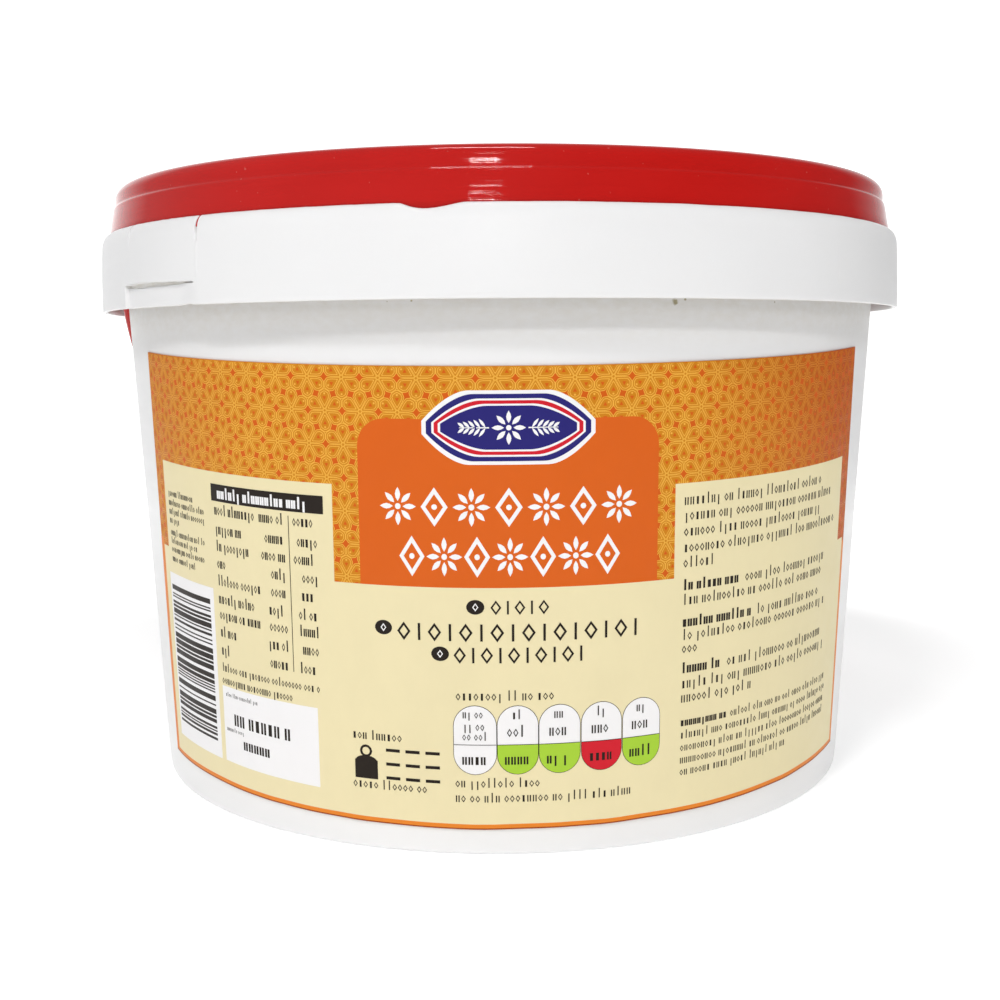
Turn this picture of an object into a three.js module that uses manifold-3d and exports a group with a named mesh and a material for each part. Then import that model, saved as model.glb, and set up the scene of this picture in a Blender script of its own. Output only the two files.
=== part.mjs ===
// A shut 4.5 kg food pail: a white pail with a tamper-evident collar, a red push-on lid,
// a paper label round its front and a red strap handle hanging down behind.
// Millimetres, +Z up. The origin is on the pail's axis at the height of its foot, and the
// label faces -Y. An angle round the pail is counted in degrees from the front, towards +X.

import * as THREE from 'three';
import { mergeVertices } from 'three/addons/utils/BufferGeometryUtils.js';
import Module from 'manifold-3d';

// ---- driving dimensions ----

const ROUND_STEPS = 96;

// Pail wall: a cone that widens upwards.
const FOOT_RADIUS = 93.7;
const COLLAR_FOOT_RADIUS = 100.4;
const COLLAR_FOOT_HEIGHT = 121.2;
const WALL_SLOPE = (COLLAR_FOOT_RADIUS - FOOT_RADIUS) / COLLAR_FOOT_HEIGHT;

// Foot: a flat ring round a shallow recess.
const FOOT_RING_INSIDE = 89.6;
const FOOT_CORNER = 1.2;
const BASE_RECESS = 3;

// Collar: a skirt that stands off the wall on a web, with a channel above the web for the lid.
const COLLAR_RADIUS = 107;
const COLLAR_WAIST_RADIUS = 106.6;
const COLLAR_THICKNESS = 1.3;
const WEB_UNDERSIDE = 134.6;
const WEB_TOP = 136;
const SHOULDER_HEIGHT = 136.8;
const COLLAR_TOP_RADIUS = 104.7;
const COLLAR_TOP_HEIGHT = 140.5;
const COLLAR_LIP = 0.45;
const BODY_TOP_RADIUS = 101.2;
const BODY_TOP_HEIGHT = 143.6;

// Tear tab: a stretch of the collar between two weak lines, over a slot and a step for the finger.
const TAB_START = -54;
const TAB_END = -38.1;
const TAB_FOOT_HEIGHT = 126.5;
const TAB_SLOT = 0.8;
const STEP_DEPTH = 1.1;
const SLIT_WIDTH = 0.7;
const SLIT_DEPTH = 3.2;
const NICK_WIDTH = 1.1;
const NICK_DEPTH = 0.7;

// Scallop: a shallow dip in the collar's top edge.
const SCALLOP_ANGLE = -7.9;
const SCALLOP_WIDTH = 14.5;
const SCALLOP_DEPTH = 1.4;

// Gussets: thin webs between the wall and the collar's skirt.
const GUSSET_COUNT = 16;
const GUSSET_FOOT_HEIGHT = 128.5;
const GUSSET_DEGREES = 0.7;
const GUSSET_RADIUS = 105.35;

// Lid: a flared skirt that drops into the collar, a ledge, and a raised rim round a sunken panel.
const LID_SKIRT_FOOT = 136.4;
const LID_SKIRT_RADIUS = 103.9;
const LID_SKIRT_INSIDE = 101.75;
const LID_UNDERSIDE = 144;
const LEDGE_HEIGHT = 147.1;
const LEDGE_RADIUS = 102.7;
const LID_SIDE_RADIUS = 102.1;
const LID_TOP = 152.9;
const RIM_CORNER = 3.6;
const RIM_INSIDE = 94.6;
const PANEL_HEIGHT = 146.8;
const STACK_RING_OUTSIDE = 74;
const STACK_RING_INSIDE = 71;
const STACK_RING_RISE = 1.2;
const GATE_RADIUS = 4;
const GATE_RISE = 0.6;

// Label: a straight-edged sheet, so that on the cone its edges rise towards its ends.
const LABEL_LEFT = -102.3;
const LABEL_RIGHT = 104.5;
const LABEL_FOOT = 6.2;
const LABEL_HEIGHT = 101.4;
const LABEL_END_RISE = 3.5;
const LABEL_GAP = 0.3;
const LABEL_THICKNESS = 0.3;

// Handle: a flat strap that hangs from two pegs through the collar.
const PIVOT_HEIGHT = 127.6;
const PIVOT_TURN = 7;
const HANG_ANGLE = 47;
const STRAP_SIDE_RADIUS = 102.2;
const STRAP_BACK_RADIUS = 103.3;
const STRAP_WIDTH = 8;
const STRAP_THICKNESS = 2;
const EYE_RADIUS = 5;
const PEG_RADIUS = 2.7;
const PEG_HOLE_RADIUS = 3.1;
const PEG_HEAD_RADIUS = 3.6;
const PEG_HEAD_FOOT = 107.3;
const PEG_HEAD_TOP = 107.95;
const GRIP_SHARE = 0.22;
const GRIP_THICKNESS = 0.6;

// ---- joining and cutting ----

const wasm = await Module();
wasm.setup();

function toSolid(geometry) {
  const bare = geometry.clone();
  bare.deleteAttribute('normal');
  bare.deleteAttribute('uv');
  const merged = mergeVertices(bare, 1e-4);
  const corners = merged.index.array;
  const kept = [];
  for (let i = 0; i < corners.length; i += 3) {
    const [a, b, c] = corners.slice(i, i + 3);
    if (a !== b && b !== c && c !== a) kept.push(a, b, c);
  }
  return new wasm.Manifold(new wasm.Mesh({
    numProp: 3,
    vertProperties: Float32Array.from(merged.attributes.position.array),
    triVerts: Uint32Array.from(kept),
  }));
}

function toGeometry(solid) {
  const mesh = solid.getMesh();
  const geometry = new THREE.BufferGeometry();
  geometry.setAttribute('position', new THREE.BufferAttribute(mesh.vertProperties, 3));
  geometry.setIndex(new THREE.BufferAttribute(mesh.triVerts, 1));
  geometry.computeVertexNormals();
  return geometry;
}

// ---- shapes round the axis ----

const wallRadius = (height) => FOOT_RADIUS + WALL_SLOPE * height;

// Points of an elliptical arc in (radius, height), between two angles in degrees.
function arc(centre, halfWidth, halfHeight, from, to, steps) {
  return Array.from({ length: steps + 1 }, (_, i) => {
    const angle = THREE.MathUtils.degToRad(from + ((to - from) * i) / steps);
    return [centre[0] + halfWidth * Math.cos(angle), centre[1] + halfHeight * Math.sin(angle)];
  });
}

// A solid of revolution about +Z, from an outline that goes up on its outer side.
function turned(outline, steps = ROUND_STEPS) {
  const points = outline.map(([radius, height]) => new THREE.Vector2(radius, height));
  return new THREE.LatheGeometry(points, steps).rotateX(Math.PI / 2);
}

// A block bounded by two radii, two angles and two heights.
function sector(insideRadius, outsideRadius, foot, top, startDegrees, endDegrees) {
  const start = THREE.MathUtils.degToRad(startDegrees - 90);
  const end = THREE.MathUtils.degToRad(endDegrees - 90);
  const steps = Math.max(1, Math.ceil(((endDegrees - startDegrees) * ROUND_STEPS) / 360));
  const outline = new THREE.Shape();
  outline.absarc(0, 0, outsideRadius, start, end, false);
  outline.absarc(0, 0, insideRadius, end, start, true);
  const settings = { depth: top - foot, bevelEnabled: false, curveSegments: steps };
  return new THREE.ExtrudeGeometry(outline, settings).translate(0, 0, foot);
}

// A cylinder that lies along a radius of the pail.
function radialRod(radius, inner, outer, height, degrees, sides = 20) {
  const rod = new THREE.CylinderGeometry(radius, radius, outer - inner, sides);
  rod.translate(0, -(inner + outer) / 2, 0);
  rod.rotateZ(THREE.MathUtils.degToRad(degrees));
  return rod.translate(0, 0, height);
}

// ---- pail ----

function pailOutline() {
  const rootRadius = wallRadius(WEB_UNDERSIDE);
  const rootFillet = 1.2;
  const shoulderWidth = COLLAR_WAIST_RADIUS - COLLAR_TOP_RADIUS;
  const shoulderRise = COLLAR_TOP_HEIGHT - SHOULDER_HEIGHT;
  const skirtInside = COLLAR_RADIUS - COLLAR_THICKNESS;
  const edgeRound = 0.3;
  return [
    [0, BASE_RECESS],
    [FOOT_RING_INSIDE - 1.4, BASE_RECESS],
    [FOOT_RING_INSIDE - 0.6, BASE_RECESS - 0.5],
    [FOOT_RING_INSIDE, 0],
    ...arc([FOOT_RADIUS - FOOT_CORNER, FOOT_CORNER], FOOT_CORNER, FOOT_CORNER, -90, 0, 3),
    [rootRadius, WEB_UNDERSIDE - rootFillet],
    [rootRadius + rootFillet, WEB_UNDERSIDE],
    [COLLAR_WAIST_RADIUS - COLLAR_THICKNESS, WEB_UNDERSIDE],
    [skirtInside, COLLAR_FOOT_HEIGHT + edgeRound],
    [skirtInside + edgeRound, COLLAR_FOOT_HEIGHT],
    [COLLAR_RADIUS - edgeRound, COLLAR_FOOT_HEIGHT],
    [COLLAR_RADIUS, COLLAR_FOOT_HEIGHT + edgeRound],
    ...arc([COLLAR_TOP_RADIUS, SHOULDER_HEIGHT], shoulderWidth, shoulderRise, 0, 90, 5),
    [COLLAR_TOP_RADIUS - COLLAR_LIP, COLLAR_TOP_HEIGHT - 0.3],
    [COLLAR_WAIST_RADIUS - COLLAR_THICKNESS - 0.5, SHOULDER_HEIGHT],
    [COLLAR_WAIST_RADIUS - COLLAR_THICKNESS - 0.5, WEB_TOP],
    [BODY_TOP_RADIUS, WEB_TOP],
    [BODY_TOP_RADIUS, BODY_TOP_HEIGHT],
    [0, BODY_TOP_HEIGHT],
  ];
}

function gussets() {
  const pitch = 360 / GUSSET_COUNT;
  const start = PIVOT_TURN + pitch / 2;
  return Array.from({ length: GUSSET_COUNT }, (_, i) => {
    const middle = start + i * pitch;
    const half = GUSSET_DEGREES / 2;
    const root = wallRadius(GUSSET_FOOT_HEIGHT) - 0.5;
    return sector(root, GUSSET_RADIUS, GUSSET_FOOT_HEIGHT, WEB_UNDERSIDE + 0.5, middle - half, middle + half);
  });
}

// The finger's place under the tab: the skirt set inwards, with a slot through it along the tab's foot.
function tabStep(pail) {
  const face = COLLAR_RADIUS - STEP_DEPTH;
  const back = face - COLLAR_THICKNESS;
  const start = TAB_START - 1.4;
  const stepTop = TAB_FOOT_HEIGHT - TAB_SLOT;
  const cutAway = sector(face, COLLAR_RADIUS + 1, COLLAR_FOOT_HEIGHT - 1, stepTop, start, TAB_END);
  const step = sector(back, face, COLLAR_FOOT_HEIGHT + 0.6, stepTop, start - 0.8, TAB_END + 0.8);
  const slot = sector(back - 1, COLLAR_RADIUS + 1, stepTop, TAB_FOOT_HEIGHT, start, TAB_END - 1);
  return pail.add(toSolid(step)).subtract(toSolid(cutAway)).subtract(toSolid(slot));
}

// A narrow notch down from the collar's top edge, as wide as stated at the collar.
function edgeNotch(degrees, width, depth) {
  const half = THREE.MathUtils.radToDeg(width / COLLAR_RADIUS) / 2;
  const inside = LID_SKIRT_RADIUS + 0.1;
  const foot = COLLAR_TOP_HEIGHT - depth;
  return sector(inside, COLLAR_RADIUS + 1, foot, COLLAR_TOP_HEIGHT + 1, degrees - half, degrees + half);
}

function scallop() {
  const radius = (SCALLOP_WIDTH ** 2 / 4 + SCALLOP_DEPTH ** 2) / (2 * SCALLOP_DEPTH);
  const height = COLLAR_TOP_HEIGHT - SCALLOP_DEPTH + radius;
  return radialRod(radius, LID_SKIRT_RADIUS - 0.5, COLLAR_RADIUS + 1, height, SCALLOP_ANGLE, 96);
}

function pail() {
  let solid = tabStep(toSolid(turned(pailOutline())));
  for (const gusset of gussets()) solid = solid.add(toSolid(gusset));
  const cuts = [
    edgeNotch(TAB_END, SLIT_WIDTH, SLIT_DEPTH),
    edgeNotch(TAB_START, NICK_WIDTH, NICK_DEPTH),
    scallop(),
    radialRod(PEG_HOLE_RADIUS, LID_SKIRT_RADIUS, COLLAR_RADIUS + 1, PIVOT_HEIGHT, PIVOT_TURN + 90),
    radialRod(PEG_HOLE_RADIUS, LID_SKIRT_RADIUS, COLLAR_RADIUS + 1, PIVOT_HEIGHT, PIVOT_TURN - 90),
  ];
  for (const cut of cuts) solid = solid.subtract(toSolid(cut));
  return toGeometry(solid);
}

// ---- lid ----

function lid() {
  const skirtThickness = LID_SKIRT_RADIUS - LID_SKIRT_INSIDE;
  const outline = [
    [0, LID_UNDERSIDE],
    [LID_SKIRT_INSIDE, LID_UNDERSIDE],
    [LID_SKIRT_INSIDE, LID_SKIRT_FOOT],
    [LID_SKIRT_INSIDE + skirtThickness * 0.8, LID_SKIRT_FOOT],
    [LID_SKIRT_RADIUS, LID_SKIRT_FOOT + 0.4],
    [LID_SKIRT_RADIUS, COLLAR_TOP_HEIGHT],
    [LEDGE_RADIUS, LEDGE_HEIGHT],
    [LEDGE_RADIUS - 0.2, LEDGE_HEIGHT + 0.3],
    [LID_SIDE_RADIUS, LEDGE_HEIGHT + 0.8],
    ...arc([LID_SIDE_RADIUS - RIM_CORNER, LID_TOP - RIM_CORNER], RIM_CORNER, RIM_CORNER, 0, 90, 5),
    [RIM_INSIDE + 0.8, LID_TOP],
    [RIM_INSIDE, LID_TOP - 0.8],
    [RIM_INSIDE - 0.5, PANEL_HEIGHT + 1],
    [RIM_INSIDE - 1.5, PANEL_HEIGHT],
    [STACK_RING_OUTSIDE + 0.6, PANEL_HEIGHT],
    [STACK_RING_OUTSIDE, PANEL_HEIGHT + STACK_RING_RISE],
    [STACK_RING_INSIDE, PANEL_HEIGHT + STACK_RING_RISE],
    [STACK_RING_INSIDE - 0.6, PANEL_HEIGHT],
    [GATE_RADIUS, PANEL_HEIGHT],
    [GATE_RADIUS - 0.6, PANEL_HEIGHT + GATE_RISE],
    [0, PANEL_HEIGHT + GATE_RISE],
  ];
  return toGeometry(toSolid(turned(outline)));
}

// ---- label ----

// Wraps a flat sheet, with x along it and y up it, round the pail's wall.
function wrapped(sheet) {
  const middle = (LABEL_LEFT + LABEL_RIGHT) / 2;
  const halfLength = (LABEL_RIGHT - LABEL_LEFT) / 2;
  const position = sheet.attributes.position;
  for (let i = 0; i < position.count; i += 1) {
    const along = position.getX(i) + middle;
    const rise = LABEL_END_RISE * (along / halfLength) ** 2;
    const height = LABEL_FOOT + LABEL_HEIGHT / 2 + position.getY(i) + rise;
    const stand = LABEL_GAP + LABEL_THICKNESS / 2 + position.getZ(i);
    const angle = along / wallRadius(height);
    const radius = wallRadius(height) + stand;
    position.setXYZ(i, radius * Math.sin(angle), -radius * Math.cos(angle), height);
  }
  return sheet;
}

function label() {
  const length = LABEL_RIGHT - LABEL_LEFT;
  return toGeometry(toSolid(wrapped(new THREE.BoxGeometry(length, LABEL_HEIGHT, LABEL_THICKNESS, 44, 1, 1))));
}

// ---- handle ----

// Half an ellipse that is nearly a circle from above once it hangs at its angle.
class StrapCurve extends THREE.Curve {
  constructor(share) {
    super();
    this.start = (1 - share) / 2;
    this.share = share;
  }

  getPoint(t, target = new THREE.Vector3()) {
    const angle = Math.PI * (this.start + this.share * t);
    const reach = STRAP_BACK_RADIUS / Math.cos(THREE.MathUtils.degToRad(HANG_ANGLE));
    return target.set(-STRAP_SIDE_RADIUS * Math.cos(angle), reach * Math.sin(angle), 0);
  }
}

// A band along a stretch of the strap. The first side of its section is the strap's width.
function band(share, width, inner, outer, steps) {
  const trim = Math.min(0.5, (outer - inner) / 3);
  const section = new THREE.Shape([
    new THREE.Vector2(-width / 2 + trim, inner),
    new THREE.Vector2(width / 2 - trim, inner),
    new THREE.Vector2(width / 2, inner + trim),
    new THREE.Vector2(width / 2, outer - trim),
    new THREE.Vector2(width / 2 - trim, outer),
    new THREE.Vector2(-width / 2 + trim, outer),
    new THREE.Vector2(-width / 2, outer - trim),
    new THREE.Vector2(-width / 2, inner + trim),
  ]);
  const settings = { steps, bevelEnabled: false, extrudePath: new StrapCurve(share) };
  return new THREE.ExtrudeGeometry(section, settings);
}

// The eye at one end of the strap, with its peg and head, about the pivot line. side is -1 or 1.
function pivotEnd(side) {
  const eyeInside = STRAP_SIDE_RADIUS - STRAP_THICKNESS / 2;
  const eyeOutside = STRAP_SIDE_RADIUS + STRAP_THICKNESS / 2;
  const outline = [
    [0, eyeInside],
    [EYE_RADIUS, eyeInside],
    [EYE_RADIUS, eyeOutside],
    [PEG_RADIUS, eyeOutside],
    [PEG_RADIUS, PEG_HEAD_FOOT],
    [PEG_HEAD_RADIUS, PEG_HEAD_FOOT],
    [PEG_HEAD_RADIUS, PEG_HEAD_TOP - 0.25],
    [PEG_HEAD_RADIUS - 0.5, PEG_HEAD_TOP],
    [0, PEG_HEAD_TOP],
  ];
  return turned(outline, 20).rotateY((side * Math.PI) / 2);
}

function handle() {
  const half = STRAP_THICKNESS / 2;
  return toGeometry(
    toSolid(band(1, STRAP_WIDTH, -half, half, 44))
      .add(toSolid(band(GRIP_SHARE, STRAP_WIDTH - 1, half - 0.2, half + GRIP_THICKNESS, 12)))
      .add(toSolid(pivotEnd(-1)))
      .add(toSolid(pivotEnd(1))),
  );
}

// ---- the scene graph ----

const whitePlastic = new THREE.MeshStandardMaterial({ color: 0xeeeeee, roughness: 0.35, metalness: 0 });
const redPlastic = new THREE.MeshStandardMaterial({ color: 0xb81f22, roughness: 0.25, metalness: 0 });
const labelPaper = new THREE.MeshStandardMaterial({ color: 0xdc7a2a, roughness: 0.45, metalness: 0 });

function namedMesh(name, geometry, material) {
  const mesh = new THREE.Mesh(geometry, material);
  mesh.name = name;
  return mesh;
}

const handleMesh = namedMesh('handle', handle(), redPlastic);
handleMesh.rotation.x = -THREE.MathUtils.degToRad(HANG_ANGLE);

const handleGroup = new THREE.Group();
handleGroup.position.z = PIVOT_HEIGHT;
handleGroup.rotation.z = THREE.MathUtils.degToRad(PIVOT_TURN);
handleGroup.add(handleMesh);

const foodPail = new THREE.Group();
foodPail.add(namedMesh('pail', pail(), whitePlastic));
foodPail.add(namedMesh('lid', lid(), redPlastic));
foodPail.add(namedMesh('label', label(), labelPaper));
foodPail.add(handleGroup);

export default foodPail;
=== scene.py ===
import math
import random

import bpy
from mathutils import Matrix, Vector, noise


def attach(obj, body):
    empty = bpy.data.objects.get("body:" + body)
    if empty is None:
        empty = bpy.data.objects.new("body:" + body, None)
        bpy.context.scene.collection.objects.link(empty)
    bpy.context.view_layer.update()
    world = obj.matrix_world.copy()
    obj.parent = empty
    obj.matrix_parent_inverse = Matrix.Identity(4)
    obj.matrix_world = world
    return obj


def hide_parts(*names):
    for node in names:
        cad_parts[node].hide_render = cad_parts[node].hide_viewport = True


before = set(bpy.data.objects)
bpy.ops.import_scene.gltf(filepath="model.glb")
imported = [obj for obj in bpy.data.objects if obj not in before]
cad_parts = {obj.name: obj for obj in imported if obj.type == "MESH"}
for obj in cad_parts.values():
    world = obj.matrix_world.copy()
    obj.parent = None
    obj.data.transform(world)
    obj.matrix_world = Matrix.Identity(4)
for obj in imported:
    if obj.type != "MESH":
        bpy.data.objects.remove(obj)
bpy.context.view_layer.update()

# ---- Pail ----
# One moulding of white polypropylene: a foot ring, a wall that widens upwards, and a collar
# that stands off the wall on a web and hides the lid's lower edge. The collar's stretch
# between its nick and its slit tears off, with a step and a slot below it for the finger.

MM = 0.001

FOOT_RADIUS = 93.7
COLLAR_FOOT = 121.2
WALL_SLOPE = (100.4 - 93.7) / COLLAR_FOOT
FOOT_CORNER = 1.2
BASE_RECESS = 3.0
WEB_UNDERSIDE = 134.6
WEB_TOP = 136.0
COLLAR_OUTSIDE = 107.0
COLLAR_INSIDE = 105.7
COLLAR_WAIST = 106.6
SHOULDER = 136.8
COLLAR_TOP = 140.5
COLLAR_LIP = 104.7
RIM_RADIUS = 101.2
RIM_TOP = 143.6

TAB_START = -54.0
TAB_END = -38.1
STEP_START = -55.4
STEP_TOP = 125.8
STEP_DEPTH = 1.0
SLOT_DEPTH = 1.4
SLIT_HALF = 0.17
SLIT_DEPTH = 3.2
NICK_HALF = 0.26
NICK_DEPTH = 0.8
SCALLOP_MIDDLE = -7.45
SCALLOP_HALF = 3.7
SCALLOP_DEPTH = 1.2
MOULD_LINE = 45.0


def wall_radius(height):
    """The pail's outer radius at that height, in millimetres."""
    return FOOT_RADIUS + WALL_SLOPE * height


def round_axis(radius, turn, height):
    """A point at that many degrees round the axis from the front, towards +X."""
    angle = math.radians(turn)
    return (radius * math.sin(angle), -radius * math.cos(angle), height)


def arc(middle, wide, high, start, end, steps):
    """Points (radius, height) along an elliptical arc between two angles in degrees."""
    points = []
    for i in range(steps + 1):
        angle = math.radians(start + (end - start) * i / steps)
        points.append((middle[0] + wide * math.cos(angle), middle[1] + high * math.sin(angle)))
    return points


def along_line(start, end, steps):
    """Points from start up to, but not including, end."""
    return [tuple(a + (b - a) * i / steps for a, b in zip(start, end)) for i in range(steps)]


def turns_round(step, fine):
    """Angles in degrees once round the axis, with finer steps over the stretches that need them."""
    turns = [-180 + step * i for i in range(round(360 / step))]
    for start, end, size in fine:
        count = max(1, round((end - start) / size))
        turns = [t for t in turns if not start - size / 2 < t < end + size / 2]
        turns += [start + (end - start) * i / count for i in range(count + 1)]
    turns.sort()
    kept = turns[:1]
    for turn in turns[1:]:
        if turn - kept[-1] > 0.012:
            kept.append(turn)
    return kept


def add_object(name, data):
    """An object in the scene, from a mesh or other data."""
    piece = bpy.data.objects.new(name, data)
    bpy.context.collection.objects.link(piece)
    return piece


def plain_mesh(name, points, faces=(), edges=()):
    """An object whose mesh is given in millimetres."""
    mesh = bpy.data.meshes.new(name)
    mesh.from_pydata([tuple(c * MM for c in p) for p in points], edges, faces)
    return add_object(name, mesh)


def turned_piece(name, outline, turns, shaped=None, sharp=32):
    """A closed body turned about the axis. Its outline starts and ends on the axis and goes up
    on the outside; shaped(radius, height, turn, row) moves a point of it at one angle."""
    points = [(0, 0, outline[0][1])]
    faces = []
    for turn in turns:
        for row, (radius, height) in enumerate(outline[1:-1]):
            if shaped:
                radius, height = shaped(radius, height, turn, row + 1)
            points.append(round_axis(radius, turn, height))
    points.append((0, 0, outline[-1][1]))
    rows = len(outline) - 2
    top = len(points) - 1
    for j in range(len(turns)):
        here = 1 + j * rows
        there = 1 + (j + 1) % len(turns) * rows
        faces.append((0, there, here))
        for i in range(rows - 1):
            faces.append((here + i, there + i, there + i + 1, here + i + 1))
        faces.append((here + rows - 1, there + rows - 1, top))
    piece = plain_mesh(name, points, faces)
    smooth(piece, sharp)
    return piece


def smooth(piece, sharp):
    """Shades a piece smoothly, but for edges that turn by more than sharp degrees."""
    piece.data.shade_smooth()
    piece.data.set_sharp_from_angle(angle=math.radians(sharp))


collar_rise = COLLAR_TOP - SHOULDER
collar_rows = [121.5, 122.4, 123.3, 124.2, 124.9, 125.2]
collar_rows += [125.35 + 0.15 * i for i in range(13)]
collar_rows += [127.6, 128.4, 129.6, 131.2, 133.0]

below_shoulder = [
    (0, BASE_RECESS),
    *along_line((12, BASE_RECESS), (88.2, BASE_RECESS), 7),
    (88.2, BASE_RECESS), (88.6, 2.85), (89.0, 2.4), (89.45, 0.25), (89.75, 0.0),
    *arc((FOOT_RADIUS - FOOT_CORNER, FOOT_CORNER), FOOT_CORNER, FOOT_CORNER, -90, 0, 6),
    *along_line((wall_radius(3), 3), (wall_radius(121), 121), 20),
    *along_line((wall_radius(121), 121), (wall_radius(133), 133), 4),
    *arc((wall_radius(134) + 1.2, 133.4), -1.2, 1.2, 0, 90, 5),
    (105.3, WEB_UNDERSIDE),
    *[(COLLAR_INSIDE, z) for z in reversed(collar_rows)],
    (COLLAR_INSIDE + 0.1, 121.28), (COLLAR_INSIDE + 0.3, COLLAR_FOOT),
    (COLLAR_OUTSIDE - 0.3, COLLAR_FOOT), (COLLAR_OUTSIDE - 0.1, 121.28),
    *[(COLLAR_OUTSIDE - 0.4 * ((z - 121.5) / 15.3) ** 2, z) for z in collar_rows],
    (COLLAR_WAIST + 0.1, 134.8),
]
lip = [
    *arc((COLLAR_LIP, SHOULDER), COLLAR_WAIST - COLLAR_LIP, collar_rise, 0, 90, 12),
    (104.58, 140.42), (104.52, 140.2), (104.65, 138.5), (104.8, SHOULDER), (104.8, 136.2),
]
pail_outline = [
    *below_shoulder,
    *lip,
    (104.6, WEB_TOP), (102.4, WEB_TOP), (RIM_RADIUS, WEB_TOP + 0.5),
    (RIM_RADIUS, 142.9), (100.6, RIM_TOP), (60, RIM_TOP), (0, RIM_TOP),
]

pail_turns = turns_round(1.5, [
    (-57.0, -36.5, 0.35),
    (STEP_START - 0.03, STEP_START + 0.09, 0.03),
    (TAB_START - NICK_HALF - 0.02, TAB_START - NICK_HALF, 0.02),
    (TAB_START + NICK_HALF, TAB_START + NICK_HALF + 0.02, 0.02),
    (TAB_END - 1.0, TAB_END - SLIT_HALF - 0.02, 0.1),
    (TAB_END - SLIT_HALF, TAB_END + SLIT_HALF, 0.085),
    (TAB_END + SLIT_HALF + 0.02, TAB_END + 0.6, 0.1),
    (-17.0, 0.0, 0.5),
    (MOULD_LINE - 0.3, MOULD_LINE + 0.3, 0.06),
])


def waver(x, y, z):
    """A smooth random number between about -1 and 1, the same each run."""
    return noise.noise(Vector((x, y, z)))


def hand_over(piece, stands_for=None):
    """Makes a finished piece ride on the pail, and hides the node that it replaces."""
    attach(piece, "root")
    if stands_for:
        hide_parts(stands_for)
    return piece


def ease(value):
    """0 below 0, 1 above 1, and smooth between."""
    value = min(1.0, max(0.0, value))
    return value * value * (3 - 2 * value)


def edge_cut(turn):
    """How far the collar's top edge is cut down at that angle."""
    cut = 0.09 * waver(turn * 0.22, 4.0, 0.0) + 0.05 * waver(turn * 0.9, 9.0, 0.0)
    across = (turn - SCALLOP_MIDDLE) / SCALLOP_HALF
    skew = across + 0.18 * (1 - across * across)
    if abs(across) < 1:
        cut += SCALLOP_DEPTH * (1 - skew * skew) ** 1.25
    corner = (TAB_END - SLIT_HALF - 0.01 - turn) / 0.62
    if 0 <= corner < 1:
        cut += 0.9 * (1 - math.sqrt(1 - (1 - corner) ** 2))
    if abs(turn - TAB_END) <= SLIT_HALF + 0.005:
        cut = SLIT_DEPTH
    if abs(turn - TAB_START) <= NICK_HALF + 0.005:
        cut = NICK_DEPTH
    return cut


def slot_reach(turn):
    """Half the height of the slot under the tab at that angle: a lens that closes to the right."""
    if not STEP_START < turn < TAB_END - 0.6:
        return 0.0
    share = (turn - STEP_START) / (TAB_END - 0.6 - STEP_START)
    return 0.52 * min(1.0, 0.55 + 2.2 * share) * (1 - share ** 2.6)


def collar_inset(height, turn):
    """How far the collar's skirt is set inwards at that place, for the step and the slot."""
    step = ease((turn - STEP_START) / 0.12) * (1 - ease((turn - TAB_END + 4.0) / 4.4))
    inset = STEP_DEPTH * step * (1 - ease((height - STEP_TOP - 0.1) / 0.3))
    reach = slot_reach(turn)
    middle = STEP_TOP + 0.35
    if reach > 0:
        inset = max(inset, SLOT_DEPTH * ease((reach + 0.12 - abs(height - middle)) / 0.16))
    ridge = math.exp(-(((turn - TAB_END) / 0.2) ** 2)) * ease((height - 127.2) / 0.8)
    mould = math.exp(-(((turn - MOULD_LINE) / 0.09) ** 2))
    seam = math.exp(-(((turn - TAB_START - 0.3) / 0.5) ** 2)) * ease((height - 127.2) / 1.5)
    return inset - 0.16 * ridge - 0.07 * mould + 0.10 * seam


def pail_shape(radius, height, turn, row):
    """The collar's own shapes at one angle; the rest of the pail is plainly round."""
    if len(below_shoulder) <= row < len(below_shoulder) + len(lip):
        share = (COLLAR_TOP - edge_cut(turn) - WEB_TOP) / (COLLAR_TOP - WEB_TOP)
        radius -= 0.5 * (1 - share) * ease((radius - 104.9) / 1.0)
        return radius, WEB_TOP + (height - WEB_TOP) * share
    if radius > 105 and height < 134.5:
        wave = 0.12 * waver(turn * 0.07, 2.0, 0.0)
        radius -= collar_inset(height, turn)
        foot = 1 - ease((height - COLLAR_FOOT) / 1.2)
        bump = 0.28 * math.exp(-(((turn + 40.4) / 1.3) ** 2)) * foot
        return min(COLLAR_OUTSIDE, radius + wave * ease((134 - height) / 8)), height + bump
    if radius < 102.5 and 3 < height < 133:
        radius += 0.06 * waver(turn * 0.03, height * 0.03, 1.0)
    return radius, height


def paint(red, green, blue):
    """A colour picked as 0 to 255 on a screen, as the shader's own numbers."""
    parts = []
    for value in (red, green, blue):
        share = value / 255
        parts.append(share / 12.92 if share <= 0.04045 else ((share + 0.055) / 1.055) ** 2.4)
    return (*parts, 1.0)


def feed(tree, node, feeds):
    """Sets a node's inputs by name or number, each to another node's output or a plain value."""
    for key, value in feeds.items():
        if isinstance(value, bpy.types.NodeSocket):
            tree.links.new(value, node.inputs[key])
        else:
            node.inputs[key].default_value = value


def put(tree, kind, feeds=None, **settings):
    """Adds a node with its inputs and settings, and gives its outputs."""
    node = tree.nodes.new(kind)
    for key, value in settings.items():
        setattr(node, key, value)
    feed(tree, node, feeds or {})
    return node.outputs


def calc(tree, operation, first, second=0.0, third=0.0, clamp=False):
    """One sum, and its result."""
    feeds = {0: first, 1: second, 2: third}
    return put(tree, "ShaderNodeMath", feeds, operation=operation, use_clamp=clamp)[0]


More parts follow.
